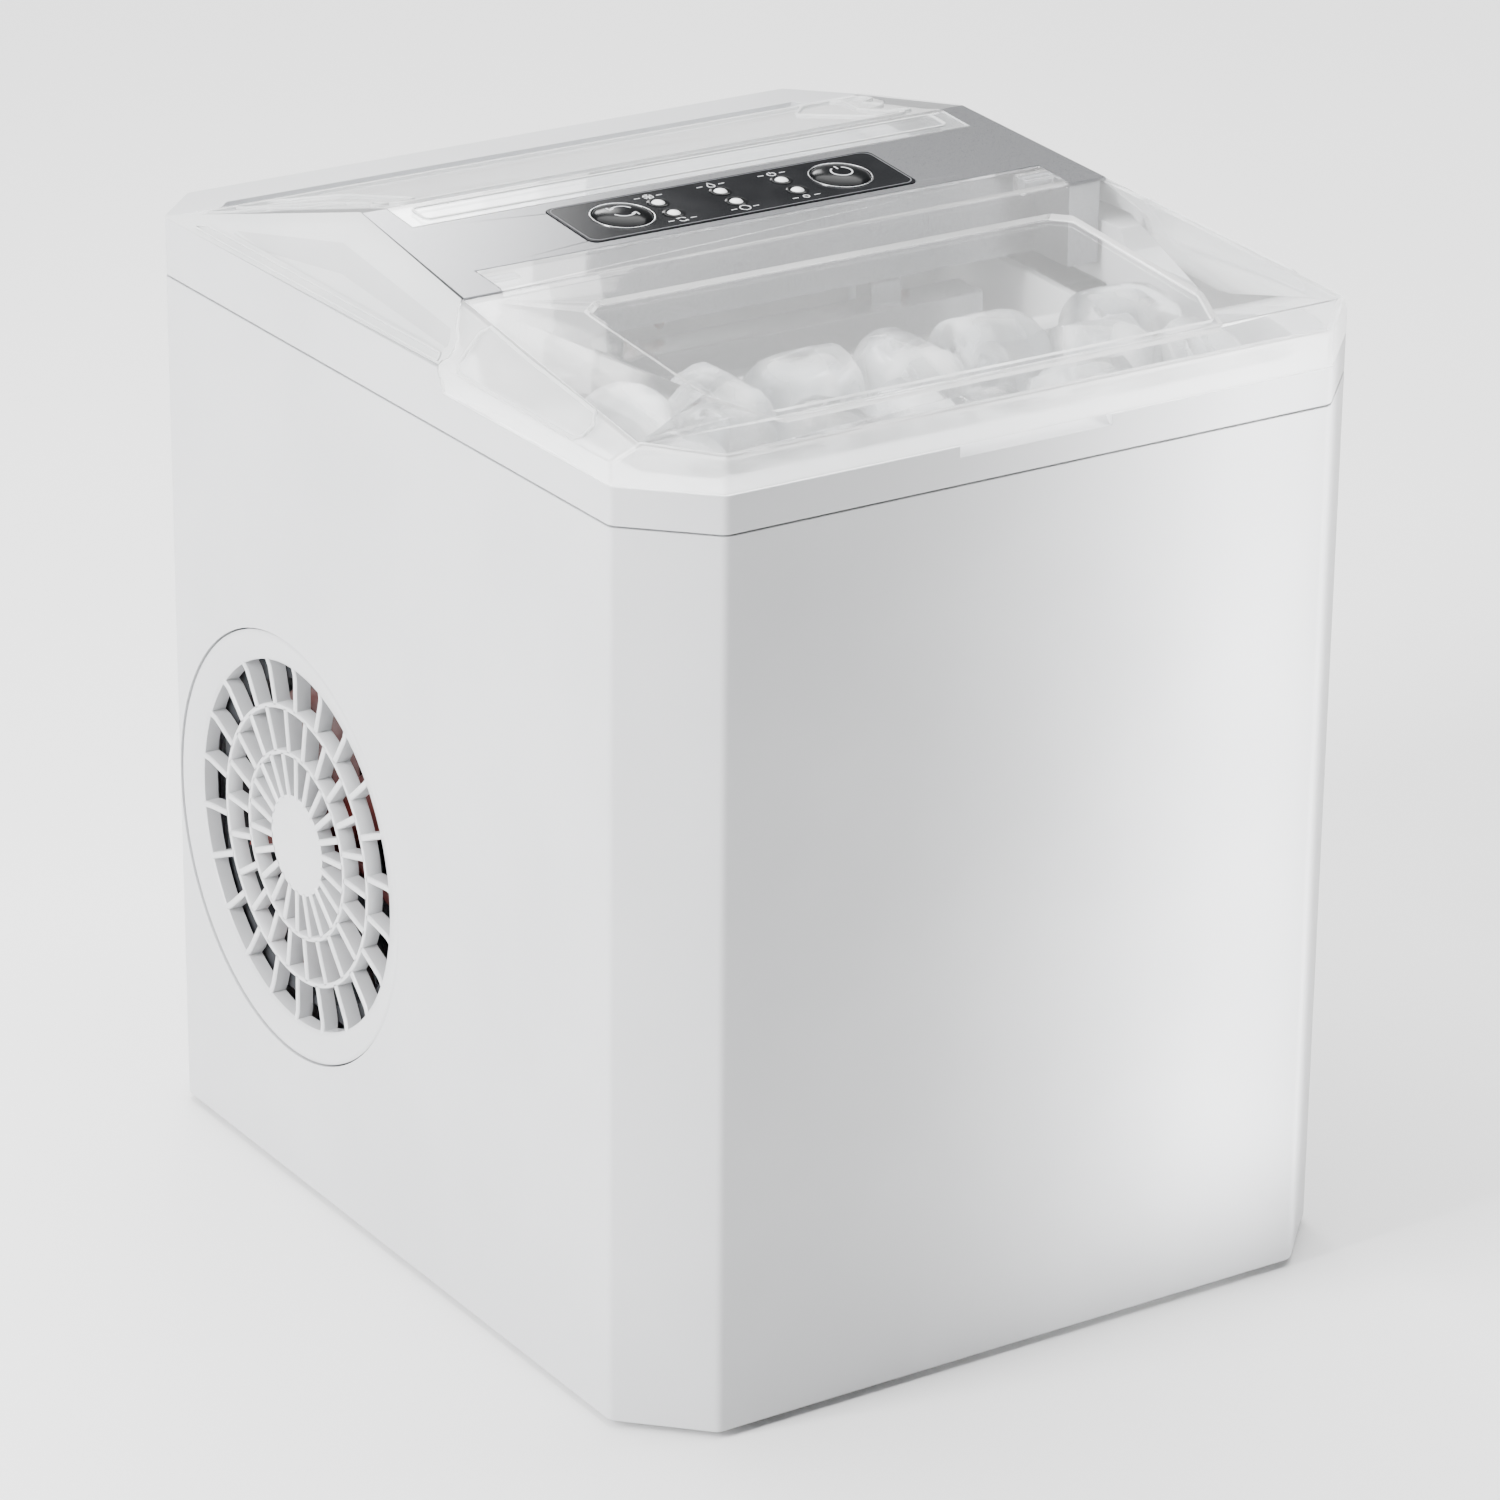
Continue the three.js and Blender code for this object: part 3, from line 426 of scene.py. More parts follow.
def rounded(points, radius, steps=5):
    """Closed outline with each corner replaced by an arc: a circle of the radius touching both sides."""
    points = np.asarray(points, float)
    out = []
    for i, corner in enumerate(points):
        before, after = points[i - 1] - corner, points[(i + 1) % len(points)] - corner
        before, after = before / np.linalg.norm(before), after / np.linalg.norm(after)
        half = 0.5 * math.acos(np.clip(before @ after, -1, 1))
        r = radius[i] if np.ndim(radius) else radius
        reach = r / math.tan(half)
        middle = corner + (before + after) / np.linalg.norm(before + after) * r / math.sin(half)
        a, b = corner + before * reach - middle, corner + after * reach - middle
        for t in np.linspace(0, 1, steps):
            arm = a * (1 - t) + b * t
            out.append(middle + arm / np.linalg.norm(arm) * r)
    return np.array(out)


def footprint(inset, radius=CORNER_R):
    """Plan outline with chamfered corners moved in by the inset, its eight corners rounded."""
    x, y = HALF_W - inset, HALF_D - inset
    shrink = inset * (2 - math.sqrt(2))
    f, r = FRONT_CHAMFER - shrink, REAR_CHAMFER - shrink
    outline = [(-x + f, -y), (x - f, -y), (x, -y + f), (x, y - r),
               (x - r, y), (-x + r, y), (-x, y - r), (-x, -y + f)]
    return rounded(outline, max(radius - inset * 0.4, 0.8))


def at_height(outline, z):
    """Plan outline lifted to z, which may be a number or one value per point."""
    return np.column_stack([outline, np.broadcast_to(z, len(outline))])


def rectangle(x0, y0, x1, y1):
    """Corners of a rectangle, counter-clockwise from the lower left."""
    return [(x0, y0), (x1, y0), (x1, y1), (x0, y1)]


def extruded_x(name, outline_yz, x0, x1):
    """Closed solid: an outline in (y, z) carried from x0 to x1."""
    rings = [np.column_stack([np.full(len(outline_yz), x), outline_yz]) for x in (x0, x1)]
    obj = loft(name, rings, True)
    outward(obj)
    return obj


def revolve(name, profile, centre, axis="z", steps=48):
    """Surface of revolution: (radius, height) points turned about an axis through the centre."""
    profile = np.asarray(profile, float)
    angle = np.arange(steps) * 2 * math.pi / steps
    ring = np.stack([np.cos(angle), np.sin(angle)], -1)
    u, v, w = {"z": (0, 1, 2), "x": (1, 2, 0), "y": (2, 0, 1)}[axis]
    points = np.zeros((len(profile), steps, 3))
    points[..., u] = profile[:, :1] * ring[:, 0]
    points[..., v] = profile[:, :1] * ring[:, 1]
    points[..., w] = profile[:, 1:]
    obj = loft(name, points + np.asarray(centre, float))
    merge(obj)
    outward(obj)
    return obj


def edit(obj, work):
    """Runs work on a bmesh copy of the object's mesh and writes it back."""
    bm = bmesh.new()
    bm.from_mesh(obj.data)
    work(bm)
    bm.to_mesh(obj.data)
    bm.free()
    obj.data.update()


def merge(obj, distance=0.002):
    """Joins vertices closer than the distance, in millimetres, which closes seams and poles."""
    edit(obj, lambda bm: bmesh.ops.remove_doubles(bm, verts=bm.verts, dist=distance * MM))


def outward(obj):
    """Recalculates the faces of a closed mesh to point outwards."""
    edit(obj, lambda bm: bmesh.ops.recalc_face_normals(bm, faces=bm.faces))


def apply_modifiers(obj):
    """Replaces the object's mesh by its evaluated one and drops its modifiers."""
    bpy.context.view_layer.update()
    shaped = obj.evaluated_get(bpy.context.evaluated_depsgraph_get())
    mesh = bpy.data.meshes.new_from_object(shaped)
    obj.modifiers.clear()
    old, obj.data = obj.data, mesh
    bpy.data.meshes.remove(old)


def carve(obj, cutters, operation="DIFFERENCE"):
    """Boolean of the object with each cutter in turn; the cutters are used up."""
    for cutter in cutters:
        modifier = obj.modifiers.new("carve", "BOOLEAN")
        modifier.operation, modifier.object, modifier.solver = operation, cutter, "EXACT"
        apply_modifiers(obj)
        bpy.data.objects.remove(cutter)
    return obj


def soften(obj, width, segments=2, angle=30, welded=False):
    """Rounds the edges sharper than the angle by a bevel of the width in millimetres."""
    if welded:
        weld = obj.modifiers.new("weld", "WELD")
        weld.merge_threshold = 0.002 * MM
    bevel = obj.modifiers.new("soft_edges", "BEVEL")
    bevel.width, bevel.segments = width * MM, segments
    bevel.limit_method, bevel.angle_limit = "ANGLE", math.radians(angle)
    bevel.harden_normals = True
    return obj


def shade(obj, angle=32):
    """Smooth shading, with edges sharper than the angle kept crisp."""
    obj.data.shade_smooth()
    obj.data.set_sharp_from_angle(angle=math.radians(angle))


def place(obj, body, slot, material=None, replaced=(), smooth=32):
    """Gives a new piece its finish, its body and the CAD nodes it stands for."""
    obj.data.materials.clear()
    obj.data.materials.append(material or finishes[slot])
    if smooth:
        shade(obj, smooth)
    obj.visible_shadow = slot != "clear_plastic"
    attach(obj, body)
    if replaced:
        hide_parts(*replaced)
    return obj


# ---------------------------------------------------------------- cabinet and housing

CABINET_WALL, COLLAR_WALL = 2.2, 13
GRILLE_GAP = 0.5               # the wall's bore is this much wider than the grille
DRAIN_R, DRAIN_Y, DRAIN_Z = 10.3, -60, 36
LOUVRES, LOUVRE_Z, LOUVRE_PITCH, LOUVRE_HEIGHT = 9, 62, 10, 4.5
LOUVRE_Y0, LOUVRE_Y1 = 28, 104
BACK_OPENING = (-90, 22, 90, 236)
BRIDGE_Y = -33                 # the collar is cut down to its front height in front of this
NOTCH_X0, NOTCH_X1, NOTCH_DEPTH = -24, 23, 3.6


def wall_ring(name, wall, insets, heights):
    """Closed wall round the footprint: outer outlines at the heights, each moved in by its inset,
    then inner ones, moved in by the wall, back down to the first."""
    outer = [at_height(footprint(i), h) for i, h in zip(insets, heights)]
    inner = [at_height(footprint(wall), h) for h in heights[::-1]]
    ring = loft(name, np.array(outer + inner + outer[:1]))
    merge(ring)
    outward(ring)
    return ring


def bore_x(radius, x0, x1, y, z, steps):
    """Cutter for a round hole along X."""
    return revolve("cut", [(0, x0), (radius, x0), (radius, x1), (0, x1)], (0, y, z), "x", steps)


def make_cabinet():
    """Wall ring of the cabinet: rounded footprint, 2.2 mm thick, with its vents and openings cut."""
    heights = (2.0, 2.5, SEAM_Z - 0.55, SEAM_Z - 0.4)
    shell = wall_ring("cabinet_wall", CABINET_WALL, (0.5, 0.0, 0.0, 0.15), heights)
    cutters = [bore_x(GRILLE_R + GRILLE_GAP, -130, -105, GRILLE_Y, GRILLE_Z, 96),
               bore_x(DRAIN_R, 108, 120, DRAIN_Y, DRAIN_Z, 48)]
    for i in range(LOUVRES):
        z0 = LOUVRE_Z + LOUVRE_PITCH * i
        slot = rounded(rectangle(LOUVRE_Y0, z0, LOUVRE_Y1, z0 + LOUVRE_HEIGHT), 2.2, 6)
        cutters.append(extruded_x("cut", slot, 108, 120))
    opening = rounded(rectangle(*BACK_OPENING), 2)
    rings = [np.column_stack([opening[:, 0], np.full(len(opening), y), opening[:, 1]]) for y in (128, 140)]
    back = loft("cut", rings, True)
    outward(back)
    cutters.append(back)
    carve(shell, cutters)
    place(shell, "housing", "white_shell", replaced=["cabinet_shell"])


def make_housing():
    """Collar above the parting line: stepped rim, finger notch under the lid's front edge."""
    ring = wall_ring("upper_collar", COLLAR_WALL, (0.3, 0.0, 0.0), (SEAM_Z, SEAM_Z + 0.3, REAR_RIM_Z))
    step = extruded_x("cut", [(-140, FRONT_RIM_Z), (BRIDGE_Y, FRONT_RIM_Z), (-31.6, FRONT_RIM_Z + 2.5),
                              (-30.2, REAR_RIM_Z - 0.5), (-28, 275), (-140, 275)], -120, 120)
    bottom = -HALF_D + NOTCH_DEPTH
    notch = extruded_x("cut", [(-140, FRONT_RIM_Z - 3.4), (-HALF_D, FRONT_RIM_Z - 3.0),
                               (-HALF_D + 1.2, FRONT_RIM_Z - 2.6), (bottom, FRONT_RIM_Z + 0.1),
                               (bottom, 275), (-140, 275)], NOTCH_X0, NOTCH_X1)
    carve(ring, [step, notch])
    soften(ring, 0.35)
    place(ring, "housing", "white_shell", replaced=["upper_housing"])


# ---------------------------------------------------------------- clear lid and cheek covers

RIDGE = np.array([(102.4, -22.0), (97.0, 40.8), (114.6, 118.9)])
JOINT_S = np.array([(115.0, -33.0, 263.7), (115.0, -31.2, 268.6), (114.4, -30.1, 270.3),
                    (113.4, -30.6, 271.4), (112.6, -32.3, 272.4), (110.6, -32.0, 274.5),
                    (108.4, -29.7, 276.9), (107.2, -27.0, 278.2), (105.8, -24.9, 279.7),
                    (104.0, -22.9, 281.6), (102.3, -21.9, 283.5)])
LID_WALL, CHEEK_WALL = 2.2, 1.8
LID_Z = 263.7                  # lower edge of the lid's skirt
UPRIGHT = 0.2                  # share of the skirt that stands upright, before it leans in
SKIRT_TOP_X = 109.8            # half width of the skirt's top row at the front chamfer
LID_PANEL_DEPTH = 1.1
LUG_X0, LUG_X1 = 80.5, 89.6
RECESS_DEPTH, RECESS_X = 1.2, 111.6  # the cheeks' recess has this depth at this x,
RECESS_SLOPE = 0.5             # and deepens inwards at this rate


def mirrored_path(path):
    """A path along the left side, joined to its mirror image running back along the right."""
    path = np.asarray(path, float) * [-1, 1, 1]
    return np.vstack([path, path[::-1] * [-1, 1, 1]])


def rounded_path(points, radius, steps=5):
    """Open path in space whose inner corners become arcs touching both sides."""
    points = np.asarray(points, float)
    out = [points[0]]
    for before, corner, after in zip(points[:-2], points[1:-1], points[2:]):
        u, v = before - corner, after - corner
        u, v = u / np.linalg.norm(u), v / np.linalg.norm(v)
        half = 0.5 * math.acos(np.clip(u @ v, -1, 1))
        reach = min(radius / math.tan(half), 8.0)
        for t in np.linspace(0, 1, steps):
            out.append(corner + u * reach * (1 - t) ** 2 + v * reach * t ** 2)
    out.append(points[-1])
    return np.array(out)


def fill(loops):
    """Triangles over a flat outline and the holes in it, as index triples into the stacked loops."""
    return mathutils.geometry.tessellate_polygon([[Vector(p) for p in loop] for loop in loops])


def on_roof(outline, drop=0.0):
    """Plan outline laid on the sloped roof plane, lowered by the drop."""
    outline = np.asarray(outline, float)
    return np.column_stack([outline, roof_z(outline[:, 1]) - drop])


def on_cheek(outline, side, drop=0.0):
    """Plan outline laid on the slanted cheek plane of one side, lowered by the drop."""
    x, y = np.asarray(outline, float).T
    return np.column_stack([x * side, y, cheek_z(x) - drop])


def on_window(outline, side=1):
    """Plan outline laid on the rear slope, mirrored for the left side."""
    x, y = np.asarray(outline, float).T
    return np.column_stack([x * side, y, rear_z(y)])


def patch(vertices, faces, new_vertices, new_faces):
    """Adds a patch to growing lists of vertices and faces."""
    start = sum(len(v) for v in vertices)
    vertices.append(np.asarray(new_vertices, float))
    faces.extend([[int(i) + start for i in face] for face in new_faces])


def stepped_top(vertices, faces, outer, inner, lowered):
    """Flat face from the outer loop to the inner one, a step down to the lowered loop, then closed."""
    patch(vertices, faces, np.vstack([outer, inner]), fill([outer, inner]))
    patch(vertices, faces, np.vstack([inner, lowered]), grid_faces(2, len(inner), True))
    patch(vertices, faces, lowered, fill([lowered]))


def sheet(name, vertices, faces, thickness, edge=0.35):
    """Thin wall from patches: the surface faces up and the wall grows down from it."""
    obj = new_object(name, np.vstack(vertices), faces)
    merge(obj, 0.01)
    outward(obj)
    up = sum(face.normal.z * face.area for face in obj.data.polygons)
    if up < 0:
        obj.data.flip_normals()
    wall = obj.modifiers.new("wall", "SOLIDIFY")
    wall.thickness, wall.offset = thickness * MM, -1
    wall.use_even_offset, wall.use_quality_normals = True, True
    soften(obj, edge, 2, 25)
    return obj


def make_lid():
    """Clear lid: each row of its skirt and slope runs from the S-shaped joint along the side, round
    the chamfer to the front and back on the other side; the top is flat with a shallow panel in it."""
    share = np.linspace(0, 1, len(JOINT_S))
    rows = []
    for f, start in zip(share, JOINT_S):
        upright = f < UPRIGHT
        x = start[0] if upright else HALF_W - (HALF_W - SKIRT_TOP_X) * (f - UPRIGHT) / (1 - UPRIGHT)
        side_z = start[2] if upright else cheek_z(x)
        corner = (x, x - CHAMFER_SUM, min(side_z, cheek_z(x)))
        front = (HALF_W - FRONT_CHAMFER, -HALF_D, LID_Z + (roof_z(-HALF_D) - LID_Z) * f)
        rows.append(rounded_path(mirrored_path([start, corner, front]), CORNER_R))
    rows = np.array(rows)
    vertices, faces = [], []
    patch(vertices, faces, rows.reshape(-1, 3), grid_faces(len(rows), rows.shape[1], False))
    tongue = on_roof([(101.5, -21.9), (91.2, -21.9), (89.9, -20.6), (89.9, -7.8)])
    outer = np.vstack([rows[-1], tongue, tongue[::-1] * [-1, 1, 1]])
    panel = rounded([(-77, -42), (-72, -38), (72, -38), (77, -42),
                     (77, -99), (69, -117), (-69, -117), (-77, -99)], 2)
    inner_panel = panel * [0.985, 1] + [0, -0.6]
    stepped_top(vertices, faces, outer, on_roof(panel), on_roof(inner_panel, LID_PANEL_DEPTH))
    lid = sheet("lid_shell", vertices, faces, LID_WALL)
    lug = rounded(rectangle(-15.2, 278.0, -8.8, 284.0), 2)
    for label, side in SIDES:
        low, high = sorted((LUG_X0 * side, LUG_X1 * side))
        place(extruded_x(f"lid_lug_{label}", lug, low, high), "lid", "clear_plastic")
    place(lid, "lid", "clear_plastic", replaced=["front_lid"])
    lid.data.materials.append(variants["skirt"])
    for face in lid.data.polygons:
        face.material_index = int(abs(face.normal.x) > 0.3 or face.normal.z < 0.5)


def make_cheeks():
    """Milky side covers: flat on the slanted plane, front end on the S-shaped joint, a recessed
    panel set in a border that runs parallel to the ridges, and a raised ledge along the outer edge."""
    joint = JOINT_S[2:] + [0, 0.6, 0]
    back = RIDGE[1:]
    outer = np.vstack([joint[:, :2], back, [(HALF_W, 118.9)]])
    inner = rounded([(107.8, -25.0), (103.4, 39.0), (111.6, 90.0),
                     (112.1, -27.5), (110.8, -28.6), (109.2, -27.2)], (0.6, 1.5, 0.4, 0.5, 0.5, 0.6))
    sunk = rounded([(109.9, -24.6), (106.3, 35.0), (111.1, 72.0),
                    (RECESS_X, -26.9), (110.9, -27.5), (110.3, -26.8)], (0.3, 1.2, 0.3, 0.3, 0.25, 0.25))
    ledge = rounded([(112.5, -28.0), (112.5, 98.0), (113.9, 104.0), (113.9, -29.2)], 0.2)
    drop = RECESS_DEPTH + RECESS_SLOPE * (RECESS_X - sunk[:, 0])
    for label, side in SIDES:
        name = f"cheek_cover_{label}"
        vertices, faces = [], []
        floor = on_cheek(sunk, side, drop)
        stepped_top(vertices, faces, on_cheek(outer, side), on_cheek(inner, side), floor)
        cheek = sheet(name + "_panel", vertices, faces, CHEEK_WALL, 0.25)
        place(cheek, "housing", "frosted_plastic", replaced=[name])
        # the recess's step walls, the faces off both flat planes, take the greyer copy as painted shade in
        # the recess
        cheek.data.materials.append(variants["recess_step_painted_shade"])
        slopes = (CHEEK_SLOPE, CHEEK_SLOPE - RECESS_SLOPE)
        flats = [Vector((side * slope, 0, 1)).normalized() for slope in slopes]
        for face in cheek.data.polygons:
            face.material_index = int(max(face.normal @ flat for flat in flats) < 0.99)
        edge_line(name + "_ledge", "housing", on_cheek(ledge, side), (side * CHEEK_SLOPE, 0, 1), 0.45, 0.6)


def make_edge_lines():
    """Raised edge lines of the clear mouldings: thin strips with a small square section."""
    ledge = [(114.3, -44), (114.3, -97), (113.2, -99.6), (110.9, -100.6), (108.6, -98),
             (106.2, -62), (104.3, -40), (106.0, -37.5), (112.5, -37.5), (114.0, -39.5)]
    for label, side in SIDES:
        edge_line(f"lid_ledge_{label}", "lid", on_cheek(ledge, side), (side * CHEEK_SLOPE, 0, 1), 1.0, 0.7)
    slope = rounded([(-82, 45), (82, 45), (86, 76), (99, 103),
                     (99, 109), (-99, 109), (-99, 103), (-86, 76)], 4)
    edge_line("window_step_line", "housing", on_window(slope), WINDOW_OUT, 1.2, 0.6)
    wave = rounded([(88.5, 50), (84, 58), (84, 68), (95, 76), (97, 90), (105, 97), (108.5, 108), (88, 108),
                    (74, 90), (74, 50)], (2, 4, 5, 6, 5, 5, 2, 4, 6, 3))
    for label, side in SIDES:
        edge_line(f"window_scallop_{label}", "housing", on_window(wave, side), WINDOW_OUT, 0.9, 0.6)
    strip = rounded(rectangle(-84, 28.5, 84, 37), 2)
    edge_line("window_front_line", "housing", on_roof(strip), ROOF_OUT, 0.8, 0.4)


def edge_line(name, body, path, normal, width, height):
    """One frosted raised line along a closed path, as a piece of its own."""
    place(bead_loop(name, path, normal, width, height), body, "frosted_plastic")


def bead_loop(name, path, normal, width, height):
    """Square-section strip along a closed path: each section is set across the path and the normal."""
    vertices, faces = [], []
    bead_patch(vertices, faces, path, normal, width, height, True)
    obj = new_object(name, np.vstack(vertices), faces)
    merge(obj)
    outward(obj)
    return soften(obj, min(width, height) * 0.3, 2, 40)


def bead_patch(vertices, faces, path, normal, width, height, closed):
    """Adds one strip: sections of four corners, half the width to each side, from 0.1 below the
    surface to the height above it; an open strip gets both ends closed."""
    path, normal = np.asarray(path, float), np.asarray(normal, float) / np.linalg.norm(normal)
    along = np.roll(path, -1, 0) - np.roll(path, 1, 0)
    if not closed:
        along[0], along[-1] = path[1] - path[0], path[-1] - path[-2]
    across = np.cross(normal, along)
    across *= width / 2 / np.linalg.norm(across, axis=1, keepdims=True)
    sections = [path - across - 0.1 * normal, path + across - 0.1 * normal,
                path + across + height * normal, path - across + height * normal]
    rings = np.stack(sections, 1)
    if closed:
        rings = np.concatenate([rings, rings[:1]])
    quads = grid_faces(len(rings), 4, True).tolist()
    if not closed:
        last = 4 * (len(rings) - 1)
        quads += [[3, 2, 1, 0], [last, last + 1, last + 2, last + 3]]
    patch(vertices, faces, rings.reshape(-1, 3), quads)


# ---------------------------------------------------------------- control panel

FILM_X, FILM_Y, FILM_TOP = 52.2, 12.7, 0.25  # half width, half depth and level of the film's face
KEY_X = 35.0
KEYS = {"select_button": ("select_key", -KEY_X), "power_button": ("power_key", KEY_X)}
LED_COLUMNS, LED_ROW = (-21.3, -1.4, 18.3), 4.0
INK_HEIGHT = 0.06


def on_panel(points):
    """From the panel's own frame (across, up the slope, out) to the object's frame."""
    u, v, w = np.moveaxis(np.asarray(points, float), -1, 0)
    length = math.hypot(1, ROOF_SLOPE)
    c, t = 1 / length, ROOF_SLOPE / length
    return np.stack([u, PANEL_Y + v * c - w * t, roof_z(PANEL_Y) + v * t + w * c], -1)


def arc(centre, radius, start, end, steps=24):
    """Points of a circular arc between two angles in degrees."""
    angle = np.radians(np.linspace(start, end, steps))
    return np.column_stack([centre[0] + radius * np.cos(angle), centre[1] + radius * np.sin(angle)])


def circle(centre, radius, steps=48):
    """Closed circle without its doubled last point."""
    return arc(centre, radius, 0, 360 * (1 - 1 / steps), steps)


def marks_power(c, r):
    """Open ring with a bar through its gap."""
    bar = np.array([(c[0], c[1] + 0.2 * r), (c[0], c[1] + 1.25 * r)])
    return [(arc(c, r, 120, 420), False), (bar, False)]


def marks_snowflake(c, r):
    """Three bars crossing at sixty degrees, each with small arms near its ends."""
    out = []
    for turn in (30, 90, 150):
        d = np.array([math.cos(math.radians(turn)), math.sin(math.radians(turn))])
        n = np.array([-d[1], d[0]])
        out.append((np.array([c - d * r, c + d * r]), False))
        for end in (-1, 1):
            tip = c + d * r * end
            joint = c + d * r * 0.6 * end
            out.append((np.array([tip + n * r * 0.3, joint, tip - n * r * 0.3]), False))
    return out


def marks_drop(c, r):
    """Drop outline: a round foot drawn up to a point."""
    round_part = arc(c + np.array([0, -0.25 * r]), r * 0.75, -215, 35)
    return [(np.vstack([round_part, [(c[0], c[1] + 1.3 * r)]]), True)]


def marks_cycle(c, r):
    """Two arcs chasing each other, each with an arrow head."""
    out = []
    for turn in (20, 200):
        path = arc(c, r, turn, turn + 130)
        tip = path[-1]
        aim = math.radians(turn + 220)
        head = r * 0.55
        wings = [tip - head * np.array([math.cos(aim + s), math.sin(aim + s)]) for s in (-0.6, 0.6)]
        out += [(path, False), (np.array([wings[0], tip, wings[1]]), False)]
    return out


def panel_print(name, strokes, width, level, body="housing", finish="ink"):
    """One printed piece: its strokes are thin strips lying on the panel at the given level."""
    vertices, faces = [], []
    for path, closed in strokes:
        path = on_panel(np.column_stack([path, np.full(len(path), level)]))
        bead_patch(vertices, faces, path, ROOF_OUT, width, INK_HEIGHT, closed)
    obj = new_object(name, np.vstack(vertices), faces)
    outward(obj)
    place(obj, body, "charcoal_panel", variants[finish])


def turned_on_panel(name, profile, centre, steps=64):
    """Turned piece standing on the panel: (radius, height) points carried round the key's centre."""
    profile = np.asarray(profile, float)
    angle = np.arange(steps) * 2 * math.pi / steps
    u = centre[0] + profile[:, :1] * np.cos(angle)
    v = centre[1] + profile[:, :1] * np.sin(angle)
    w = np.repeat(profile[:, 1:], steps, 1)
    obj = loft(name, on_panel(np.stack([u, v, w], -1)))
    merge(obj)
    outward(obj)
    return obj


def make_panel():
    """Panel film, two domed keys in bright rings, six lenses in dark rings, generic printed marks."""
    film = rounded(rectangle(-FILM_X, -FILM_Y, FILM_X, FILM_Y), 3)
    panel_print("panel_edge_line", [(film * [0.987, 0.95], True)], 0.25, FILM_TOP, finish="dim_ink")
    dome = [(0, 1.75), (2.5, 1.7), (5, 1.5), (7, 1.1), (7.9, 0.75),
            (8.25, 0.4), (8.35, -0.1), (8.35, -6.4), (0, -6.4)]
    ring = [(8.5, -0.2), (9.05, -0.2), (9.05, 0.35), (8.95, 0.48),
            (8.8, 0.52), (8.6, 0.46), (8.5, 0.3), (8.5, -0.2)]
    for node, (body, u) in KEYS.items():
        cap = turned_on_panel(node + "_cap", dome, (u, 0))
        place(cap, body, "charcoal_panel", variants["key_film"], [node])
        place(turned_on_panel(node + "_ring", ring, (u, 0)), "housing", "nickel_plate")
    panel_print("select_key_mark", marks_cycle(np.array([-KEY_X, 0.0]), 3.4), 0.42, 1.62, "select_key")
    panel_print("power_key_mark", marks_power(np.array([KEY_X, -0.3]), 3.0), 0.42, 1.66, "power_key")
    lens = [(0, 0.95), (0.9, 0.86), (1.5, 0.62), (1.85, 0.3), (1.9, -0.2), (0, -0.2)]
    collar = [(1.95, 0.2), (3.1, 0.2), (3.1, 0.42), (2.9, 0.5), (2.1, 0.5), (1.95, 0.4), (1.95, 0.2)]
    marks = []
    for i, u in enumerate(LED_COLUMNS):
        for j, v in enumerate((LED_ROW, -LED_ROW)):
            number = i * 2 + j + 1
            place(turned_on_panel(f"led_dome_{number}", lens, (u, v), 32), "housing", "led_lens")
            dark_ring = turned_on_panel(f"led_collar_{number}", collar, (u, v), 32)
            place(dark_ring, "housing", "dark_plastic", variants["key_film"])
            marks.append((u - 0.2, v * 2.2))
    full, clean, water, large, power, small = (np.array(m) for m in marks)
    strokes = marks_snowflake(full, 1.5) + marks_cycle(clean, 1.25) + marks_drop(water, 1.35)
    strokes += [(circle(large, 1.5), True), (circle(small, 0.85, 24), True)] + marks_power(power, 1.15)
    for mark in (full, clean, water, large, power, small):
        for side in (-1, 1):
            tick = np.array([(mark[0] + side * 2.6, mark[1]), (mark[0] + side * 4.4, mark[1])])
            strokes.append((tick, False))
    panel_print("panel_marks", strokes, 0.3, FILM_TOP)


# ---------------------------------------------------------------- fan grille

CELLS = 22
RINGS = ((14.5, 26.0, 0.58), (27.6, 39.2, 0.08), (40.8, 53.2, 0.58))
BAR_W, GRILLE_DEPTH = 1.9, 4.6
DISH_R, DISH_RIM, DISH_DROP = 50.0, 0.25, 2.6  # radius of the flat middle, depth of the rim, added depth


def dish(r):
    """How far the grille's face lies inside the wall at a radius: flush at the rim, deepest inside."""
    t = np.clip((GRILLE_R - np.asarray(r, float)) / (GRILLE_R - DISH_R), 0, 1)
    return DISH_RIM + DISH_DROP * t * t * (3 - 2 * t)


def on_grille(r, angle, depth):
    """From radius, angle and depth behind the cabinet's left side to the object's frame."""
    return np.stack([-HALF_W + depth, GRILLE_Y + r * np.cos(angle), GRILLE_Z + r * np.sin(angle)], -1)


def grille_band(r0, r1, steps=132, rows=7):
    """Ring between two radii: its face follows the dish with softened edges, its walls go straight in."""
    r = np.linspace(r0, r1, rows)
    soft = np.zeros(rows)
    soft[[0, -1]] = 0.35
    front = np.column_stack([r, dish(r) + soft])
    back = np.array([(r1, dish(r1) + GRILLE_DEPTH), (r0, dish(r0) + GRILLE_DEPTH)])
    profile = np.vstack([front, back, front[:1]])
    angle = np.arange(steps) * 2 * math.pi / steps
    points = on_grille(profile[:, :1], angle[None, :], profile[:, 1:] + 0 * angle[None, :])
    return points.reshape(-1, 3), grid_faces(len(profile), steps, True)


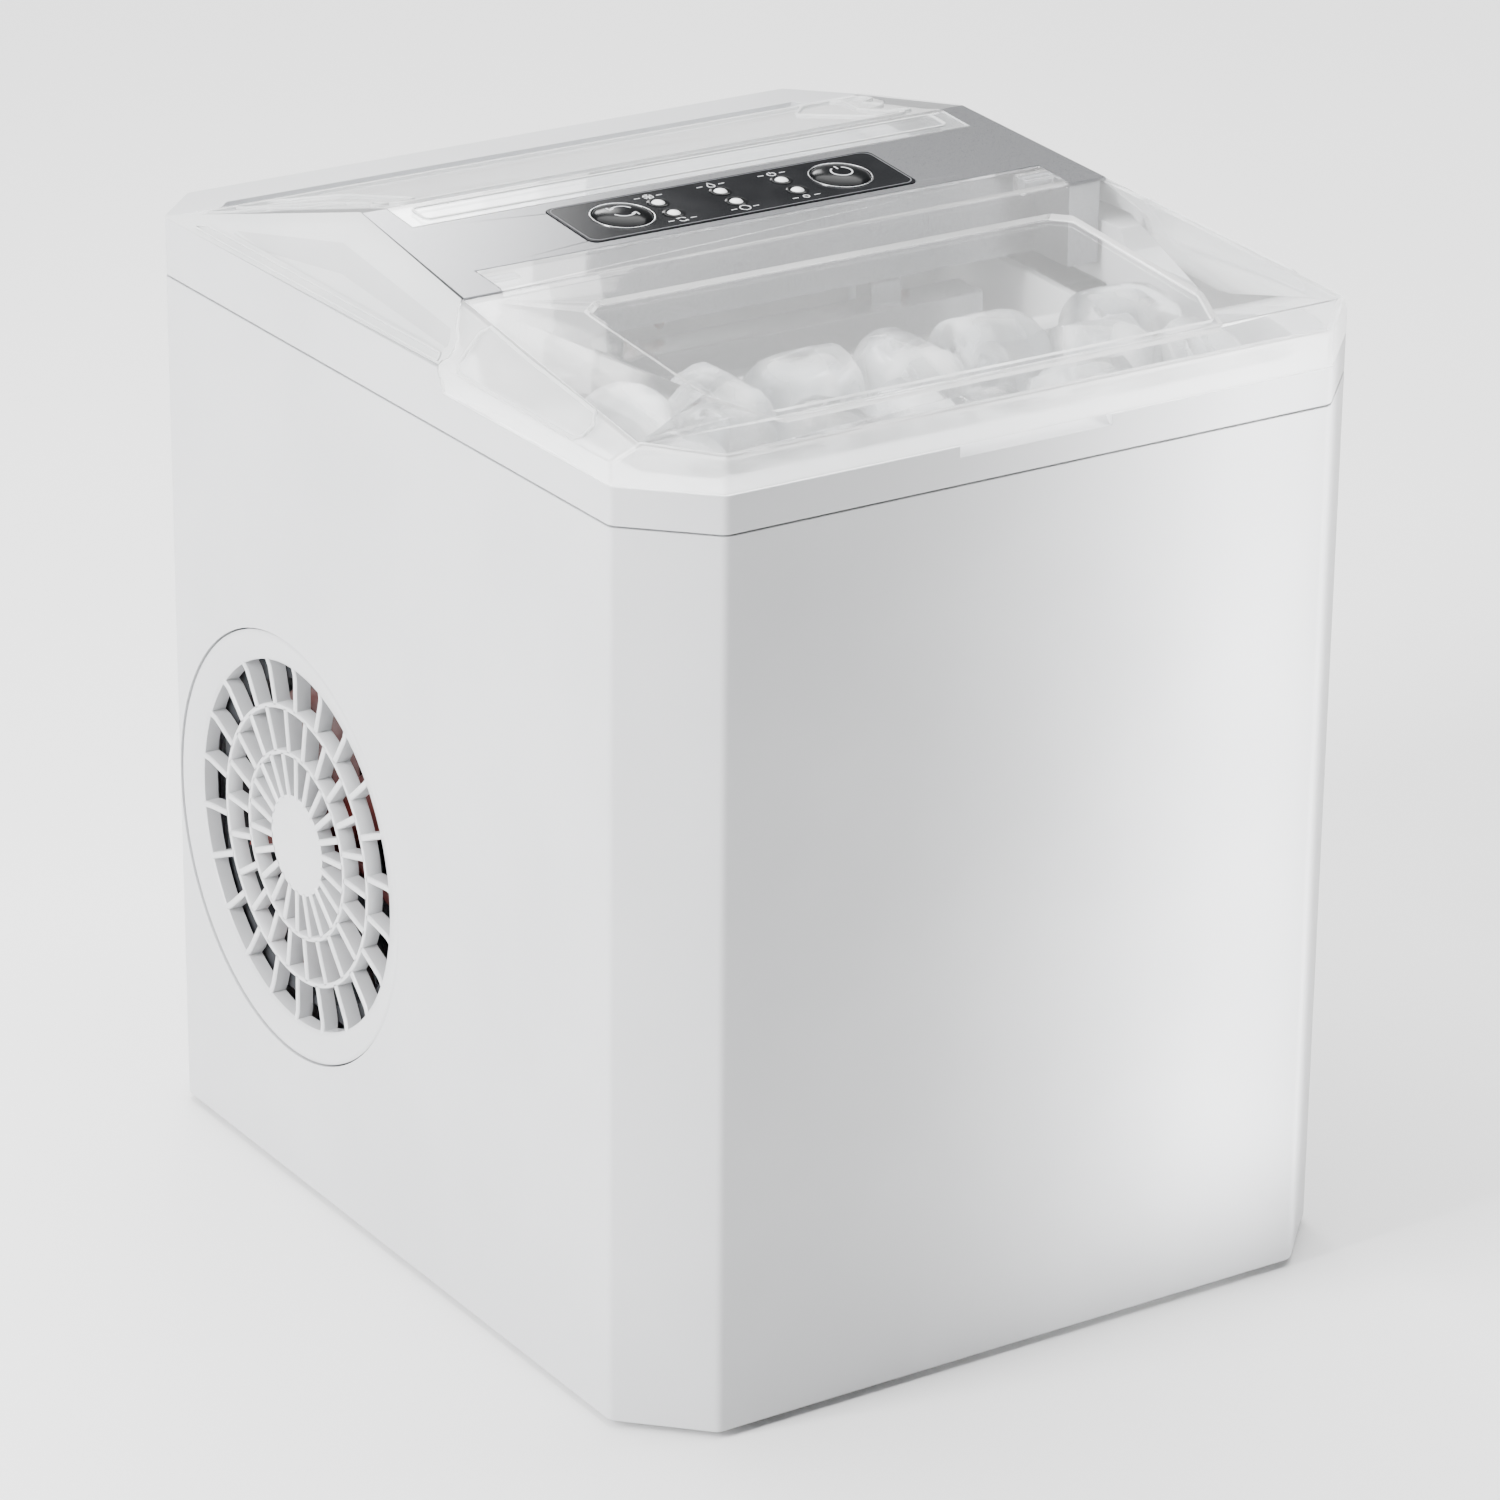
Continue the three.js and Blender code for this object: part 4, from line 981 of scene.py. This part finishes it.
def grille_bars(r0, r1, offset, rows=6):
    """Radial bars: each is a slim box along the radius whose face follows the dish, edges softened."""
    r = np.linspace(r0 - 0.6, r1 + 0.6, rows)
    across = np.array([-0.5, -0.32, 0.32, 0.5, 0.5, -0.5]) * BAR_W
    inward = np.array([0.35, 0.0, 0.0, 0.35, GRILLE_DEPTH, GRILLE_DEPTH])
    turn = (np.arange(CELLS) + offset) * 2 * math.pi / CELLS
    rr = np.repeat(r[:, None], 6, 1)
    depth = dish(rr) + inward
    y = rr[None] * np.cos(turn)[:, None, None] - across * np.sin(turn)[:, None, None]
    z = rr[None] * np.sin(turn)[:, None, None] + across * np.cos(turn)[:, None, None]
    x = np.broadcast_to(-HALF_W + depth, y.shape)
    points = np.stack([x, GRILLE_Y + y, GRILLE_Z + z], -1).reshape(CELLS, -1, 3)
    last = 6 * (rows - 1)
    one = grid_faces(rows, 6, True).tolist() + [list(range(6))[::-1], list(range(last, last + 6))]
    faces = [[i + k * 6 * rows for i in face] for k in range(CELLS) for face in one]
    return points.reshape(-1, 3), faces


def make_grille():
    """Dished egg-crate grille: hub, three rings of cells and a rim that meets the cabinet's wall."""
    vertices, faces = [], []
    starts = [0.0] + [ring[1] for ring in RINGS]
    ends = [ring[0] for ring in RINGS] + [GRILLE_R]
    for r0, r1 in zip(starts, ends):
        patch(vertices, faces, *grille_band(r0, r1, rows=7 if r1 < GRILLE_R else 14))
    for ring in RINGS:
        patch(vertices, faces, *grille_bars(*ring))
    grille = new_object("fan_grille_face", np.vstack(vertices), faces)
    merge(grille)
    outward(grille)
    place(grille, "housing", "white_shell", replaced=["fan_grille"], smooth=40)


# ---------------------------------------------------------------- ice

BULLETS, BULLET_R, BULLET_H = 86, 13.4, 31.0
FOOT_BALL, REACH = 6.5, 10.5   # of the two balls that stand for a bullet: lower one's height, distance
HEAP_LOW, HEAP_HIGH = np.array([-94.0, -116.0, 124.0]), np.array([94.0, -52.0, 270.0])
HEAP_GAP = 12.6                # room between the heap and the roof plane, so the basket can still lift
STACK = 420.0                  # height that the bullets start to fall from
FALL, LAST_FALL = 1.1, 0.05    # how far the balls fall in the first step, and in the last
PUSHES, PUSH = 4, 0.28         # rounds of pushing apart in a step, and share of the overlap each one takes


def bullet_points(rng, columns=22):
    """One bullet of ice, open end down: outer dome and wall, rounded rim, then a tapering hollow.

    The profile is (radius, height) along the surface; each point is moved by a little smooth noise."""
    t = np.linspace(0, math.pi / 2, 6)
    dome = np.column_stack([BULLET_R * np.sin(t), BULLET_H - BULLET_R + BULLET_R * np.cos(t)])
    wall = np.array([(BULLET_R * 1.01, 8.0), (BULLET_R * 0.99, 1.4), (BULLET_R - 1.0, 0.2)])
    hollow = np.array([(6.6, 0.1), (5.6, 1.2), (4.9, 7.0), (3.8, 12.5), (1.8, 15.5), (0, 16.2)])
    profile = np.vstack([dome, wall, hollow])
    angle = np.arange(columns) * 2 * math.pi / columns
    wobble = 1 + 0.025 * np.sin(angle * 2 + rng.uniform(0, 6))
    wobble = wobble + 0.015 * np.sin(angle * 5 + rng.uniform(0, 6))
    radius = profile[:, :1] * wobble
    height = profile[:, 1:] + 0.35 * np.sin(angle * 3 + rng.uniform(0, 6)) * (profile[:, :1] / BULLET_R)
    return np.stack([radius * np.cos(angle), radius * np.sin(angle), height - FOOT_BALL], -1)


def settle(rng, count, low, high, steps=500):
    """Settles bullets in the basket: each is two balls a fixed distance apart, pulled down by
    gravity, pushed out of each other and of the basket's walls, under a ceiling that comes down to
    the level of a full basket."""
    middle = rng.uniform(low + 14, [high[0] - 14, high[1] - 14, STACK - 20], (count, 3))
    arm = rng.normal(size=(count, 3))
    arm /= np.linalg.norm(arm, axis=1, keepdims=True)
    balls = np.stack([middle + arm * REACH / 2, middle - arm * REACH / 2], 1)
    owner = np.repeat(np.arange(count), 2)
    apart = owner[:, None] != owner[None, :]
    for step in range(steps):
        balls[..., 2] -= FALL * (1 - step / steps) + LAST_FALL
        for _ in range(PUSHES):
            flat = balls.reshape(-1, 3)
            gap = flat[:, None] - flat[None, :]
            distance = np.linalg.norm(gap, axis=-1) + 1e-6
            overlap = 2 * BULLET_R - distance
            push = np.where(apart & (overlap > 0), overlap / distance, 0) * PUSH
            flat = flat + (gap * push[..., None]).sum(1)
            flat[:, :2] = np.clip(flat[:, :2], low[:2] + BULLET_R, high[:2] - BULLET_R)
            room = roof_z(flat[:, 1]) - HEAP_GAP - BULLET_R
            ceiling = room + (STACK - room) * max(0.0, 1 - 1.4 * step / steps)
            flat[:, 2] = np.clip(flat[:, 2], low[2] + BULLET_R, ceiling)
            balls = flat.reshape(-1, 2, 3)
            centre = balls.mean(1)
            axis = balls[:, 0] - balls[:, 1]
            axis /= np.linalg.norm(axis, axis=1, keepdims=True) + 1e-9
            balls = np.stack([centre + axis * REACH / 2, centre - axis * REACH / 2], 1)
    return balls


def make_ice():
    """Heap of bullet ice in the basket, each bullet its own closed shape, joined in one piece."""
    rng = np.random.default_rng(SEED)
    vertices, faces = [], []
    for top, bottom in settle(rng, BULLETS, HEAP_LOW, HEAP_HIGH):
        points = bullet_points(rng)
        up = (top - bottom) / np.linalg.norm(top - bottom)
        side = np.cross(up, rng.normal(size=3))
        side /= np.linalg.norm(side)
        turn = np.column_stack([side, np.cross(up, side), up])
        placed = points.reshape(-1, 3) @ turn.T + bottom
        rows, columns = points.shape[:2]
        faces.append(grid_faces(rows, columns, True) + len(vertices) * rows * columns)
        vertices.append(placed)
    heap = new_object("bullet_ice", np.vstack(vertices), np.vstack(faces))
    merge(heap)
    outward(heap)
    place(heap, "basket", "clear_plastic", clear_ice(), smooth=60)
    heap.visible_shadow = True


# ---------------------------------------------------------------- CAD nodes that keep their shape

FLOOR = 6000                   # half the floor's side
SHARP = {"fan_grille", "condenser", "front_lid", "rear_window", "cheek_cover_left", "cheek_cover_right"}


def finish_cad_nodes():
    """Every CAD node takes its slot's finish or its own variant; the plain ones also get softened edges."""
    slots = {part["node"]: part["material_slot"] for part in frame["record"]["subparts"]}
    for name, node in frame["nodes"].items():
        node.data.materials.clear()
        node.data.materials.append(variants.get(name, finishes[slots[name]]))
        node.visible_shadow = slots[name] != "clear_plastic"
        if name not in SHARP:
            soften(node, 0.4, 2, 32, welded=True)


def make_floor():
    """Pale plain floor that runs far past the view."""
    corners = at_height(rectangle(-FLOOR, -FLOOR, FLOOR, FLOOR), 0)
    floor = new_object("floor", corners, [(0, 1, 2, 3)])
    material, tree, shader, coords = new_material("studio_floor", Roughness=0.6)
    tint_by_noise(tree, shader, coords, 900, "#f7f7f7", "#fafafa")
    floor.data.materials.append(material)


finishes = make_materials()
variants = make_variants()
make_camera()
make_lights()
make_floor()
finish_cad_nodes()
make_cabinet()
make_housing()
make_lid()
make_cheeks()
make_edge_lines()
make_panel()
make_grille()
make_ice()
